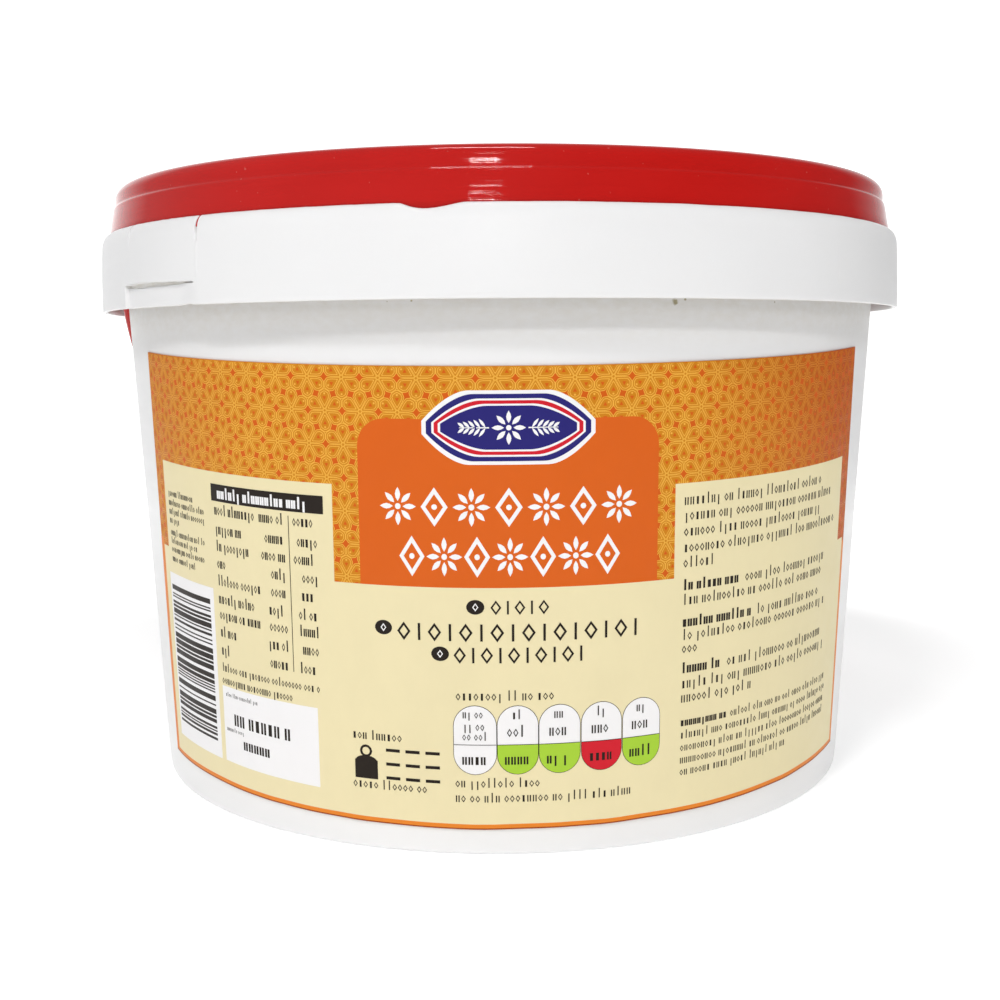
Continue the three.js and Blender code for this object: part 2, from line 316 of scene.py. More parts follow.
def new_finish(name, roughness):
    """A material with its shader, and the place on the object to read patterns from."""
    finish = bpy.data.materials.new(name)
    finish.use_nodes = True
    tree = finish.node_tree
    shader = tree.nodes["Principled BSDF"]
    feed(tree, shader, {"Roughness": roughness})
    place = put(tree, "ShaderNodeTexCoord")["Object"]
    return finish, tree, shader, place


def grain(tree, place, stretch, detail=3.0, rough=0.5):
    """Noise whose grains per metre along x, y and z are given by stretch."""
    scaled = put(tree, "ShaderNodeMapping", {"Vector": place, "Scale": stretch})
    feeds = {"Vector": scaled[0], "Scale": 1.0, "Detail": detail, "Roughness": rough}
    return put(tree, "ShaderNodeTexNoise", feeds)["Fac"]


def between(tree, share, low, high, start=0.3, end=0.7):
    """A number that goes from low to high as share goes from start to end."""
    feeds = {"Value": share, "From Min": start, "From Max": end, "To Min": low, "To Max": high}
    return put(tree, "ShaderNodeMapRange", feeds)[0]


def blend_paint(tree, share, first, second):
    """A colour that goes from first to second with share."""
    node = tree.nodes.new("ShaderNodeMix")
    node.data_type = "RGBA"
    feeds = {"Factor_Float": share, "A_Color": first, "B_Color": second}
    sockets = [socket.identifier for socket in node.inputs]
    feed(tree, node, {sockets.index(name): value for name, value in feeds.items()})
    return next(socket for socket in node.outputs if socket.identifier == "Result_Color")


def relief(tree, shader, heights):
    """Bumps on a shader from (height pattern, depth in metres) pairs, one over the other."""
    normal = None
    for pattern, depth in heights:
        feeds = {"Height": pattern, "Distance": depth, "Strength": 1.0}
        if normal is not None:
            feeds["Normal"] = normal
        normal = put(tree, "ShaderNodeBump", feeds)[0]
    feed(tree, shader, {"Normal": normal})


def spot(tree, place, middle, size, ragged):
    """1 within a ragged spot about a point given in millimetres, and 0 away from it."""
    feeds = {0: place, 1: tuple(c * MM for c in middle)}
    away = put(tree, "ShaderNodeVectorMath", feeds, operation="DISTANCE")["Value"]
    uneven = calc(tree, "MULTIPLY_ADD", ragged, size * MM * 1.3, away)
    return between(tree, uneven, 1.0, 0.0, size * MM * 1.1, size * MM * 1.7)


STAINS = [
    (21.6, 120.7, 0.75), (23.0, 121.2, 0.35), (37.2, 121.0, 0.22),
    (-10.5, 121.1, 0.25), (-13.5, 121.0, 0.18),
]

white_plastic, tree, shader, place = new_finish("white_plastic", 0.34)
clouds = grain(tree, place, (14, 14, 20))
shade = between(tree, clouds, 0, 1)
shade = blend_paint(tree, shade, (0.81, 0.81, 0.812, 1.0), (0.78, 0.78, 0.785, 1.0))
ragged = grain(tree, place, (1500, 1500, 1500))
for turn, height, size in STAINS:
    mark = spot(tree, place, round_axis(wall_radius(height), turn, height), size, ragged)
    shade = blend_paint(tree, calc(tree, "MULTIPLY", mark, 0.8), shade, paint(126, 116, 58))
# Painted shade: a patchy warm grey darkening on the wall just under the collar and deep inside the
# slot under the tear tab, where shade falls. It is read from a mark on the pail's points.
painted_shade = put(tree, "ShaderNodeAttribute", attribute_name="painted_shade")["Fac"]
patchy_shade = calc(tree, "MULTIPLY", painted_shade, between(tree, grain(tree, place, (420, 420, 700)), 0.45, 1.0))
shade = blend_paint(tree, patchy_shade, shade, paint(176, 158, 104))
scuffs = grain(tree, place, (60, 60, 420), 5.0, 0.6)
feed(tree, shader, {
    "Base Color": shade,
    "Roughness": between(tree, scuffs, 0.30, 0.42),
    "Subsurface Weight": 0.10,
    "Subsurface Radius": (1.0, 0.95, 0.9),
    "Subsurface Scale": 0.0016,
})
fine_skin = grain(tree, place, (700, 700, 700))
long_waves = grain(tree, place, (45, 45, 30))
relief(tree, shader, [(fine_skin, 0.00002), (long_waves, 0.00012)])

pail = turned_piece("pail_body", pail_outline, pail_turns, pail_shape, sharp=30)
pail.data.materials.append(white_plastic)
# The mark of painted shade: a band on the wall just under the collar, and the deep inside of the
# slot under the tab.
painted_shade_marks = pail.data.attributes.new("painted_shade", "FLOAT", "POINT")
for i, vertex in enumerate(pail.data.vertices):
    x, y, z = (c / MM for c in vertex.co)
    turn = math.degrees(math.atan2(x, -y))
    radius = math.hypot(x, y)
    in_slot = 125.3 < z < 127.4 and radius > 104.4
    deep = ease((COLLAR_OUTSIDE - 1.15 - radius) / 0.7) if in_slot else 0.0
    under_collar_shade = 0.22 * ease((z - 111) / 9) if z < 135.5 and radius < 102.5 else 0.0
    painted_shade_marks.data[i].value = max(under_collar_shade, 0.75 * deep * (STEP_START - 1 < turn < TAB_END))
hand_over(pail, "pail")

# ---- Gussets ----
# Sixteen thin webs of the same moulding, between the wall and the collar's skirt. They hold
# the skirt out and show only from below.

GUSSET_COUNT = 16
GUSSET_HALF = 0.55
PIVOT_TURN = 7.0


def new_tree(name, inputs):
    """A Geometry Nodes tree with geometry in and out, and its named inputs."""
    tree = bpy.data.node_groups.new(name, "GeometryNodeTree")
    tree.interface.new_socket("Geometry", in_out="INPUT", socket_type="NodeSocketGeometry")
    for label, kind, value in inputs:
        socket = tree.interface.new_socket(label, in_out="INPUT", socket_type="NodeSocket" + kind)
        if value is not None:
            socket.default_value = value
    tree.interface.new_socket("Geometry", in_out="OUTPUT", socket_type="NodeSocketGeometry")
    return tree, put(tree, "NodeGroupInput")


def end_tree(tree, geometry, ink):
    """Ends a tree in real geometry with its material."""
    real = put(tree, "GeometryNodeRealizeInstances", {"Geometry": geometry})
    inked = put(tree, "GeometryNodeSetMaterial", {"Geometry": real[0], "Material": ink})
    put(tree, "NodeGroupOutput", {"Geometry": inked[0]})


def grow(name, base, tree, values, sharp=35):
    """Runs a tree on base, and gives its result as a plain piece in base's stead."""
    modifier = base.modifiers.new("build", "NODES")
    modifier.node_group = tree
    for socket in tree.interface.items_tree:
        if socket.in_out == "INPUT" and socket.name in values:
            modifier[socket.identifier] = values[socket.name]
    depsgraph = bpy.context.evaluated_depsgraph_get()
    mesh = bpy.data.meshes.new_from_object(base.evaluated_get(depsgraph), depsgraph=depsgraph)
    mesh.name = name
    bpy.data.objects.remove(base)
    piece = add_object(name, mesh)
    if sharp:
        smooth(piece, sharp)
    return piece


def prism_faces(count):
    """The faces of a closed bar between two like outlines of count points, the first one's
    points before the second's."""
    faces = [tuple(range(count)), tuple(reversed(range(count, 2 * count)))]
    for i in range(count):
        j = (i + 1) % count
        faces.append((i + count, j + count, j, i))
    return faces


def clear(*helpers):
    """Removes objects that were needed only to make a piece."""
    for helper in helpers:
        bpy.data.objects.remove(helper)


gusset_tree, given = new_tree("gusset_ring", [
    ("Web", "Object", None),
    ("Count", "Int", GUSSET_COUNT),
    ("First turn", "Float", 0.0),
    ("Plastic", "Material", None),
])
ring = put(gusset_tree, "GeometryNodeMeshCircle", {"Vertices": given["Count"], "Radius": 0.001})
web = put(gusset_tree, "GeometryNodeObjectInfo", {"Object": given["Web"]})
order = put(gusset_tree, "GeometryNodeInputIndex")[0]
pitch = calc(gusset_tree, "DIVIDE", math.tau, given["Count"])
turned_by = calc(gusset_tree, "MULTIPLY_ADD", order, pitch, given["First turn"])
spin = put(gusset_tree, "ShaderNodeCombineXYZ", {"Z": turned_by})
centred = put(gusset_tree, "GeometryNodeSetPosition", {"Geometry": ring[0], "Position": (0, 0, 0)})
webs = put(gusset_tree, "GeometryNodeInstanceOnPoints", {
    "Points": centred[0],
    "Instance": web["Geometry"],
    "Rotation": spin[0],
})
end_tree(gusset_tree, webs[0], given["Plastic"])

web_side = [
    (wall_radius(128.5) - 0.4, 128.5),
    (101.8, 128.9),
    (105.9, 133.9),
    (105.9, WEB_UNDERSIDE + 0.3),
    (wall_radius(WEB_UNDERSIDE) - 0.4, WEB_UNDERSIDE + 0.3),
]
web_points = [(side * GUSSET_HALF, -r, z) for side in (-1, 1) for r, z in web_side]
web_shape = plain_mesh("web_shape", web_points, prism_faces(len(web_side)))
gussets = grow("collar_gussets", plain_mesh("gusset_base", [(0, 0, 0)]), gusset_tree, {
    "Web": web_shape,
    "First turn": math.radians(PIVOT_TURN + 180 / GUSSET_COUNT),
    "Plastic": white_plastic,
}, sharp=0)
clear(web_shape)
hand_over(gussets)

# ---- Lid ----
# A glossy red polypropylene moulding pushed on over the pail's rim. Its skirt drops into the
# collar, its side has a ledge halfway up, and its raised rim stands round a sunken panel.

SKIRT_RADIUS = 103.9
SKIRT_INSIDE = 101.75
LID_TOP = 152.9
RIM_CORNER = 2.9
RIM_OUTSIDE = 102.8
RIM_FALL = 0.3
LEDGE_RADIUS = 103.4
PANEL = 146.8

red_plastic, tree, shader, place = new_finish("red_plastic", 0.2)
depth_clouds = grain(tree, place, (22, 22, 60))
red_shade = between(tree, depth_clouds, 0, 1)
red_shade = blend_paint(tree, red_shade, (0.50, 0.008, 0.006, 1.0), (0.46, 0.006, 0.004, 1.0))
specks = between(tree, grain(tree, place, (900, 900, 900), 1.0), 0.0, 0.5, 0.76, 0.80)
red_shade = blend_paint(tree, specks, red_shade, (0.55, 0.12, 0.10, 1.0))
wear = grain(tree, place, (80, 80, 500), 4.0)
feed(tree, shader, {"Base Color": red_shade, "Roughness": between(tree, wear, 0.035, 0.07)})
ripples = grain(tree, place, (9, 9, 520), 2.0, 0.6)
peel = grain(tree, place, (420, 420, 420), 2.0)
relief(tree, shader, [(ripples, 0.00012), (peel, 0.000006)])

rim_corner_middle = (RIM_OUTSIDE - RIM_CORNER, LID_TOP - RIM_FALL - RIM_CORNER)
lid_outline = [
    (0, 144.0), (60, 144.0), (100.6, 144.0), (SKIRT_INSIDE, 143.6),
    (SKIRT_INSIDE, 140), (SKIRT_INSIDE, 136.9), (SKIRT_INSIDE + 0.3, 136.4), (103.4, 136.4),
    (103.75, 136.55), (SKIRT_RADIUS, 136.8), (104.2, 138.6), (104.35, 139.9),
    (104.42, 140.4),
    *along_line((104.48, 140.8), (LEDGE_RADIUS, 146.9), 8),
    (LEDGE_RADIUS, 146.9), (LEDGE_RADIUS - 0.06, 147.15), (LEDGE_RADIUS - 0.17, 147.34),
    (LEDGE_RADIUS - 0.33, 147.5), (LEDGE_RADIUS - 0.5, 147.66),
    (RIM_OUTSIDE + 0.04, 147.86), (RIM_OUTSIDE, 148.15),
    *arc(rim_corner_middle, RIM_CORNER, RIM_CORNER, 0, 90, 14),
    (98.2, LID_TOP - 0.1), (97.0, LID_TOP), (96.0, LID_TOP),
    *arc((95.9, LID_TOP - 1.2), -1.2, 1.2, 90, 5, 6),
    *along_line((94.65, 151.2), (94.25, 148.3), 4),
    *arc((92.9, PANEL + 1.3), 1.3, -1.3, 8, 90, 6),
    *along_line((91.5, PANEL), (76.0, PANEL), 4),
    (75.0, PANEL), (74.5, PANEL + 0.15), (74.2, PANEL + 0.6), (73.9, PANEL + 1.05),
    (73.4, PANEL + 1.2), (71.6, PANEL + 1.2), (71.1, PANEL + 1.05), (70.8, PANEL + 0.6),
    (70.5, PANEL + 0.15), (70.0, PANEL),
    *along_line((66, PANEL), (6, PANEL), 6),
    (4.4, PANEL), (4.0, PANEL + 0.1), (3.6, PANEL + 0.5), (3.2, PANEL + 0.6), (0, PANEL + 0.6),
]


def lid_shape(radius, height, turn, row):
    """The lid's slight unevenness from cooling."""
    swell = 0.08 * waver(math.cos(math.radians(turn)) * 2, math.sin(math.radians(turn)) * 2, 7.0)
    if radius > 90:
        return radius + swell * ease((height - 141) / 3), height
    return radius, height + 0.4 * swell * (radius / 90)


lid = turned_piece("lid_cap", lid_outline, turns_round(1.5, []), lid_shape, sharp=38)
lid.data.materials.append(red_plastic)
hand_over(lid, "lid")

# A thin locating rib on the skirt stands in the slit beside the tear tab.
RIB_HALF = 0.26
rib_line = [(SKIRT_INSIDE + 1.0, WEB_TOP + 0.6)]
for step in range(9):
    angle = math.radians(20 + 8.0 * step)
    out = (COLLAR_WAIST - COLLAR_LIP) * math.cos(angle)
    rib_line.append((COLLAR_LIP + out - 0.12, SHOULDER + collar_rise * math.sin(angle) - 0.05))
rib_line.append((SKIRT_INSIDE + 1.0, COLLAR_TOP - 0.2))
rib_points = []
for side in (-RIB_HALF, RIB_HALF):
    for radius, height in rib_line:
        x, y, z = round_axis(radius, TAB_END, height)
        angle = math.radians(TAB_END)
        rib_points.append((x + math.cos(angle) * side, y + math.sin(angle) * side, z))
rib = plain_mesh("lid_rib", rib_points, prism_faces(len(rib_line)))
rib.data.materials.append(red_plastic)
hand_over(rib)

# ---- Handle ----
# A red polypropylene strap, moulded in one piece with an eye and a peg at each end. The pegs
# go through the collar's skirt and end in heads. It hangs down behind the pail, and it has
# edge beads, with a ribbed pad at its middle for the fingers.

PIVOT_HEIGHT = 127.6
HANG = 47.0
STRAP_SIDE = 102.2
STRAP_BACK = 103.3 / math.cos(math.radians(HANG))
PAD_SHARE = 0.22
RIB_COUNT = 26
EYE_RADIUS = 5.0
PEG_RADIUS = 2.7
HEAD_RADIUS = 3.6
HEAD_FOOT = 107.25
HEAD_TOP = 107.95

strap_tree, given = new_tree("strap", [
    ("Section", "Object", None),
    ("Pad section", "Object", None),
    ("Rib", "Object", None),
    ("Half span", "Float", STRAP_SIDE * MM),
    ("Reach", "Float", STRAP_BACK * MM),
    ("Pad start", "Float", (1 - PAD_SHARE) / 2),
    ("Pad end", "Float", (1 + PAD_SHARE) / 2),
    ("Ribs", "Int", RIB_COUNT),
    ("Plastic", "Material", None),
])
bow = put(strap_tree, "GeometryNodeCurveArc", {
    "Resolution": 181,
    "Radius": 1.0,
    "Start Angle": math.pi,
    "Sweep Angle": -math.pi,
}, mode="RADIUS")
span = put(strap_tree, "ShaderNodeCombineXYZ", {
    "X": given["Half span"],
    "Y": given["Reach"],
    "Z": 1.0,
})
bent = put(strap_tree, "GeometryNodeTransform", {"Geometry": bow[0], "Scale": span[0]})
bail = put(strap_tree, "GeometryNodeSetCurveNormal", {"Curve": bent[0]}, mode="Z_UP")[0]


def swept(tree, path, section):
    """A closed bar along a path."""
    shape = put(tree, "GeometryNodeObjectInfo", {"Object": section})
    loop = put(tree, "GeometryNodeMeshToCurve", {"Mesh": shape["Geometry"]})
    feeds = {"Curve": path, "Profile Curve": loop[0], "Fill Caps": True}
    return put(tree, "GeometryNodeCurveToMesh", feeds)[0]


pad_path = put(strap_tree, "GeometryNodeTrimCurve", {
    "Curve": bail,
    2: given["Pad start"],
    3: given["Pad end"],
}, mode="FACTOR")[0]
rib_places = put(strap_tree, "GeometryNodeCurveToPoints", {
    "Curve": pad_path,
    "Count": given["Ribs"],
}, mode="COUNT")
rib = put(strap_tree, "GeometryNodeObjectInfo", {"Object": given["Rib"]})
ribs = put(strap_tree, "GeometryNodeInstanceOnPoints", {
    "Points": rib_places["Points"],
    "Instance": rib["Geometry"],
    "Rotation": rib_places["Rotation"],
})
whole = strap_tree.nodes.new("GeometryNodeJoinGeometry")
for part in (
    swept(strap_tree, bail, given["Section"]),
    swept(strap_tree, pad_path, given["Pad section"]),
    ribs[0],
):
    strap_tree.links.new(part, whole.inputs[0])
end_tree(strap_tree, whole.outputs[0], given["Plastic"])


def section_loop(name, points):
    """A closed line from points in millimetres: out from the strap's middle, then across it."""
    edges = [(i, (i + 1) % len(points)) for i in range(len(points))]
    return plain_mesh(name, [(out, across, 0) for across, out in reversed(points)], edges=edges)


strap_section = section_loop("strap_section", [
    (-3.7, -0.8), (-3.4, -0.95), (3.4, -0.95), (3.7, -0.8), (4.0, -0.5), (4.0, 0.6),
    (3.8, 0.92), (3.5, 1.0), (3.1, 0.95), (2.8, 0.7), (2.4, 0.6),
    (-2.4, 0.6), (-2.8, 0.7), (-3.1, 0.95), (-3.5, 1.0), (-3.8, 0.92), (-4.0, 0.6), (-4.0, -0.5),
])
pad_section = section_loop("pad_section", [
    (-3.3, 0.4), (3.3, 0.4), (3.5, 0.7), (3.4, 1.15),
    (3.0, 1.3), (-3.0, 1.3), (-3.4, 1.15), (-3.5, 0.7),
])
RIDGE_HALF = (2.9, 0.32)
SQUARE = ((-1, -1), (1, -1), (1, 1), (-1, 1))
ridge_corners = [(y * RIDGE_HALF[0], z * RIDGE_HALF[1]) for y, z in SQUARE]
rib_points = [(x, y, z) for x in (1.15, 1.6) for y, z in ridge_corners]
rib_faces = [(0, 3, 2, 1), (4, 5, 6, 7)]
rib_faces += [(i, (i + 1) % 4, (i + 1) % 4 + 4, i + 4) for i in range(4)]
rib_shape = plain_mesh("rib_shape", rib_points, rib_faces)
strap = grow("handle_strap", plain_mesh("strap_base", [(0, 0, 0)]), strap_tree, {
    "Section": strap_section,
    "Pad section": pad_section,
    "Rib": rib_shape,
    "Plastic": red_plastic,
}, sharp=40)
clear(strap_section, pad_section, rib_shape)



def turned(degrees, axis):
    """A turn about one of the axes."""
    return Matrix.Rotation(math.radians(degrees), 4, axis)


at_pivots = Matrix.Translation((0, 0, PIVOT_HEIGHT * MM)) @ turned(PIVOT_TURN, "Z")
strap.data.transform(at_pivots @ turned(-HANG, "X"))
hand_over(strap, "handle")

eye_outline = [
    (0, 101.2), (4.4, 101.2), (4.85, 101.35), (EYE_RADIUS, 101.7), (EYE_RADIUS, 102.8),
    (4.85, 103.1), (4.4, 103.25), (3.6, 103.2), (3.1, 103.3), (PEG_RADIUS, 103.7),
    (PEG_RADIUS, HEAD_FOOT), (HEAD_RADIUS - 0.1, HEAD_FOOT), (HEAD_RADIUS, HEAD_FOOT + 0.12),
    (HEAD_RADIUS - 0.1, HEAD_FOOT + 0.4), (HEAD_RADIUS - 0.5, HEAD_TOP - 0.1), (2.6, HEAD_TOP),
    (0.9, HEAD_TOP), (0.7, HEAD_TOP - 0.3), (0, HEAD_TOP - 0.3),
]
for side, name in ((-1, "handle_eye_left"), (1, "handle_eye_right")):
    eye = turned_piece(name, eye_outline, turns_round(10, []), sharp=40)
    eye.data.transform(at_pivots @ turned(90 * side, "Y"))
    eye.data.materials.append(red_plastic)
    hand_over(eye, "handle")

# ---- Label sheet ----
# One sheet of coated paper glued round the front of the wall. It is cut straight, so that on
# the cone its edges rise towards its ends, and its ground is printed amber all over.

LABEL_LEFT = -102.3
LABEL_RIGHT = 104.5
LABEL_FOOT = 6.2
LABEL_HEIGHT = 101.4
LABEL_END_RISE = 3.5
SHEET_TOP = 0.34
INK_STEP = 0.022
INK_SINK = 0.05
FIELD_STEP = 1.1

wrap_tree, given = new_tree("round_the_wall", [
    ("Label foot", "Float", LABEL_FOOT * MM),
    ("End rise", "Float", LABEL_END_RISE * MM),
    ("Half length", "Float", (LABEL_RIGHT - LABEL_LEFT) / 2 * MM),
    ("Foot radius", "Float", FOOT_RADIUS * MM),
    ("Wall slope", "Float", WALL_SLOPE),
    ("Wrinkle", "Float", 0.10 * MM),
    ("Edge wave", "Float", 0.55 * MM),
])
here = put(wrap_tree, "GeometryNodeInputPosition")[0]
along, up, stand = put(wrap_tree, "ShaderNodeSeparateXYZ", {0: here})
ends = calc(wrap_tree, "DIVIDE", along, given["Half length"])
rise = calc(wrap_tree, "MULTIPLY", calc(wrap_tree, "MULTIPLY", ends, ends), given["End rise"])
low = between(wrap_tree, up, 1.0, 0.0, 0.0, 0.03)
waving = put(wrap_tree, "ShaderNodeTexNoise", {
    "W": calc(wrap_tree, "MULTIPLY", along, 46.0),
    "Scale": 1.0,
    "Detail": 1.0,
}, noise_dimensions="1D")
wave = calc(wrap_tree, "MULTIPLY", calc(wrap_tree, "SUBTRACT", waving[0], 0.5), given["Edge wave"])
wave = calc(wrap_tree, "MULTIPLY", wave, low)
height = calc(wrap_tree, "ADD", up, given["Label foot"])
height = calc(wrap_tree, "ADD", height, calc(wrap_tree, "ADD", rise, wave))
wall = calc(wrap_tree, "MULTIPLY_ADD", height, given["Wall slope"], given["Foot radius"])
turn = calc(wrap_tree, "DIVIDE", along, wall)
creases = put(wrap_tree, "ShaderNodeVectorMath", {
    0: put(wrap_tree, "ShaderNodeCombineXYZ", {"X": along, "Y": up})[0],
    1: (75.0, 9.0, 1.0),
}, operation="MULTIPLY")
folds = put(wrap_tree, "ShaderNodeTexNoise", {"Vector": creases[0], "Scale": 1.0, "Detail": 1.0})
lifted = calc(wrap_tree, "MAXIMUM", calc(wrap_tree, "SUBTRACT", folds[0], 0.52), 0.0)
lifted = calc(wrap_tree, "MULTIPLY", calc(wrap_tree, "MULTIPLY", lifted, 4.0), given["Wrinkle"])
radius = calc(wrap_tree, "ADD", calc(wrap_tree, "ADD", wall, stand), lifted)
back = calc(wrap_tree, "MULTIPLY", radius, calc(wrap_tree, "COSINE", turn))
where = put(wrap_tree, "ShaderNodeCombineXYZ", {
    "X": calc(wrap_tree, "MULTIPLY", radius, calc(wrap_tree, "SINE", turn)),
    "Y": calc(wrap_tree, "MULTIPLY", back, -1.0),
    "Z": height,
})
wrapped = put(wrap_tree, "GeometryNodeSetPosition", {
    "Geometry": given["Geometry"],
    "Position": where[0],
})
put(wrap_tree, "NodeGroupOutput", {"Geometry": wrapped[0]})

field_tree, given = new_tree("printed_field", [("Ink", "Material", None)])
laid = put(field_tree, "GeometryNodeGroup", {"Geometry": given["Geometry"]}, node_tree=wrap_tree)
end_tree(field_tree, laid["Geometry"], given["Ink"])


def new_ink(name, colour, roughness=0.42, mottle=0.012, shaded_ends=None):
    """A print colour on coated paper: faintly uneven ink over a fine paper grain. The last colour,
    if
    given, is painted shade: the ink darkens to it towards the sheet's ends, most of all at the
    right end, where the label turns away from the light."""
    ink, tree, shader, place = new_finish(name, roughness)
    uneven = between(tree, grain(tree, place, (90, 90, 60), 6.0, 0.7), 0, 1)
    darker = tuple(c * (1 - 3 * mottle) for c in colour[:3]) + (1.0,)
    laid_ink = blend_paint(tree, uneven, colour, darker)
    # Painted shade: darker towards both ends of the sheet, more at the right end, where the label
    # turns away from the light.
    if shaded_ends:
        across = put(tree, "ShaderNodeSeparateXYZ", {0: place})[0]
        right_end_shade = between(tree, across, 0.0, 1.0, 0.040, 0.082)
        left_end_shade = between(tree, across, 0.5, 0.0, -0.088, -0.055)
        laid_ink = blend_paint(tree, calc(tree, "ADD", right_end_shade, left_end_shade), laid_ink, shaded_ends)
    gloss = grain(tree, place, (300, 300, 300), 3.0)
    feed(tree, shader, {
        "Base Color": laid_ink,
        "Roughness": between(tree, gloss, roughness - 0.06, roughness + 0.08),
        "Specular IOR Level": 0.16,
    })
    fibres = grain(tree, place, (2600, 2600, 2600), 2.0)
    cockle = grain(tree, place, (60, 60, 22), 2.0)
    relief(tree, shader, [(cockle, 0.00025), (fibres, 0.000006)])
    return ink


def field_points(columns, rows, low, high):
    """The corners and faces of a closed slab from columns (along, bottom, top), in millimetres."""
    points = []
    for lift in (low, high):
        for along, bottom, top in columns:
            points += [(along, bottom + (top - bottom) * j / rows, lift) for j in range(rows + 1)]
    wide = len(columns)
    tall = rows + 1
    up = wide * tall
    faces = []
    for i in range(wide - 1):
        for j in range(rows):
            a, b = i * tall + j, (i + 1) * tall + j
            faces.append((a, a + 1, b + 1, b))
            faces.append((up + a, up + b, up + b + 1, up + a + 1))
        a, b = i * tall, (i + 1) * tall
        faces.append((a, b, up + b, up + a))
        faces.append((b + rows, a + rows, up + a + rows, up + b + rows))
    for j in range(rows):
        a, b = j, (wide - 1) * tall + j
        faces.append((a + 1, a, up + a, up + a + 1))
        faces.append((b, b + 1, up + b + 1, up + b))
    return points, faces


def straight(left, right, bottom, top):
    """The columns of a plain rectangle."""
    count = max(1, math.ceil((right - left) / FIELD_STEP))
    return [(left + (right - left) * i / count, bottom, top) for i in range(count + 1)]


def rounded(left, right, bottom, top, top_corner, foot_corner=None):
    """The columns of a rectangle with round corners."""
    foot_corner = top_corner if foot_corner is None else foot_corner
    corner = max(top_corner, foot_corner)
    places = set()
    for i in range(9):
        inset = corner * (1 - math.cos(math.pi / 2 * i / 8))
        places |= {round(left + inset, 4), round(right - inset, 4)}
    length = right - left - 2 * corner
    count = max(1, math.ceil(length / FIELD_STEP))
    places |= {round(left + corner + length * i / count, 4) for i in range(count + 1)}
    columns = []
    for along in sorted(places):
        edge = min(along - left, right - along)
        cuts = []
        for size in (foot_corner, top_corner):
            short = max(0.0, size - edge)
            reach = math.sqrt(max(0.0, size * size - short * short)) * 0.999
            cuts.append(size - reach if short > 0 else 0.0)
        columns.append((along, bottom + cuts[0], top - cuts[1]))
    return columns


def add_part(points, faces, more, sides):
    """Adds one closed part to the points and faces of a mesh."""
    faces += [tuple(i + len(points) for i in side) for side in sides]
    points += more


def print_fields(name, fields, level, ink):
    """One piece from several closed slabs of the same ink. level counts layers above the sheet."""
    points, faces = [], []
    for columns in fields:
        tallest = max(top - bottom for _, bottom, top in columns)
        rows = max(1, round(tallest / 5))
        ink_top = SHEET_TOP + INK_STEP * level
        add_part(points, faces, *field_points(columns, rows, SHEET_TOP - INK_SINK, ink_top))
    base = plain_mesh(name + "_flat", points, faces)
    return hand_over(grow(name, base, field_tree, {"Ink": ink}, sharp=40))


# The amber ground and the pale lines darken towards the sheet's ends as painted shade.
amber_ink = new_ink("amber_ink", (0.60, 0.215, 0.008, 1.0), shaded_ends=(0.46, 0.075, 0.002, 1.0))
sheet_columns = straight(LABEL_LEFT, LABEL_RIGHT, 0, LABEL_HEIGHT)
sheet_points, sheet_faces = field_points(sheet_columns, 24, 0.02, SHEET_TOP)
sheet = grow("label_sheet", plain_mesh("sheet_flat", sheet_points, sheet_faces), field_tree, {
    "Ink": amber_ink,
}, sharp=40)
hand_over(sheet, "label")

# ---- Lattice print ----
# The ground above the panels carries a traditional lattice of six-pointed stars: petals drawn
# in pairs of pale lines between deep orange diamonds.

STAR_PITCH = 8.3
STAR_ROW = STAR_PITCH * math.sqrt(3) / 2
STAR_START = (-1.07, -1.8)
MARK_DEPTH = 0.03

stamp_tree, given = new_tree("printed_marks", [
    ("Mark", "Object", None),
    ("Ink", "Material", None),
    ("Left edge", "Float", (LABEL_LEFT + 0.2) * MM),
    ("Right edge", "Float", (LABEL_RIGHT - 0.2) * MM),
    ("Bottom edge", "Float", 0.2 * MM),
    ("Top edge", "Float", (LABEL_HEIGHT - 0.2) * MM),
])
mark = put(stamp_tree, "GeometryNodeObjectInfo", {"Object": given["Mark"]})
turn_of, size_of = (
    put(stamp_tree, "GeometryNodeInputNamedAttribute", {"Name": name}, data_type="FLOAT_VECTOR")
    for name in ("turn", "size")
)
marks = put(stamp_tree, "GeometryNodeInstanceOnPoints", {
    "Points": given["Geometry"],
    "Instance": mark["Geometry"],
    "Rotation": turn_of["Attribute"],
    "Scale": size_of["Attribute"],
})
real = put(stamp_tree, "GeometryNodeRealizeInstances", {"Geometry": marks[0]})
here = put(stamp_tree, "GeometryNodeInputPosition")[0]
along, up, lift = put(stamp_tree, "ShaderNodeSeparateXYZ", {0: here})
kept = []
for value, low, high in ((along, "Left edge", "Right edge"), (up, "Bottom edge", "Top edge")):
    held = calc(stamp_tree, "MAXIMUM", value, given[low])
    held = calc(stamp_tree, "MINIMUM", held, given[high])
    past = calc(stamp_tree, "SUBTRACT", value, held)
    kept.append(calc(stamp_tree, "MULTIPLY_ADD", past, 0.03, held))
trimmed = put(stamp_tree, "ShaderNodeCombineXYZ", {"X": kept[0], "Y": kept[1], "Z": lift})
trim = put(stamp_tree, "GeometryNodeSetPosition", {"Geometry": real[0], "Position": trimmed[0]})
laid = put(stamp_tree, "GeometryNodeGroup", {"Geometry": trim[0]}, node_tree=wrap_tree)
end_tree(stamp_tree, laid["Geometry"], given["Ink"])


def slab(outline):
    """A closed flat shape from its outline, counter-clockwise, in millimetres."""
    points = [(x, y, z) for z in (-MARK_DEPTH, 0) for x, y in outline]
    return points, [tuple(reversed(face)) for face in prism_faces(len(outline))]


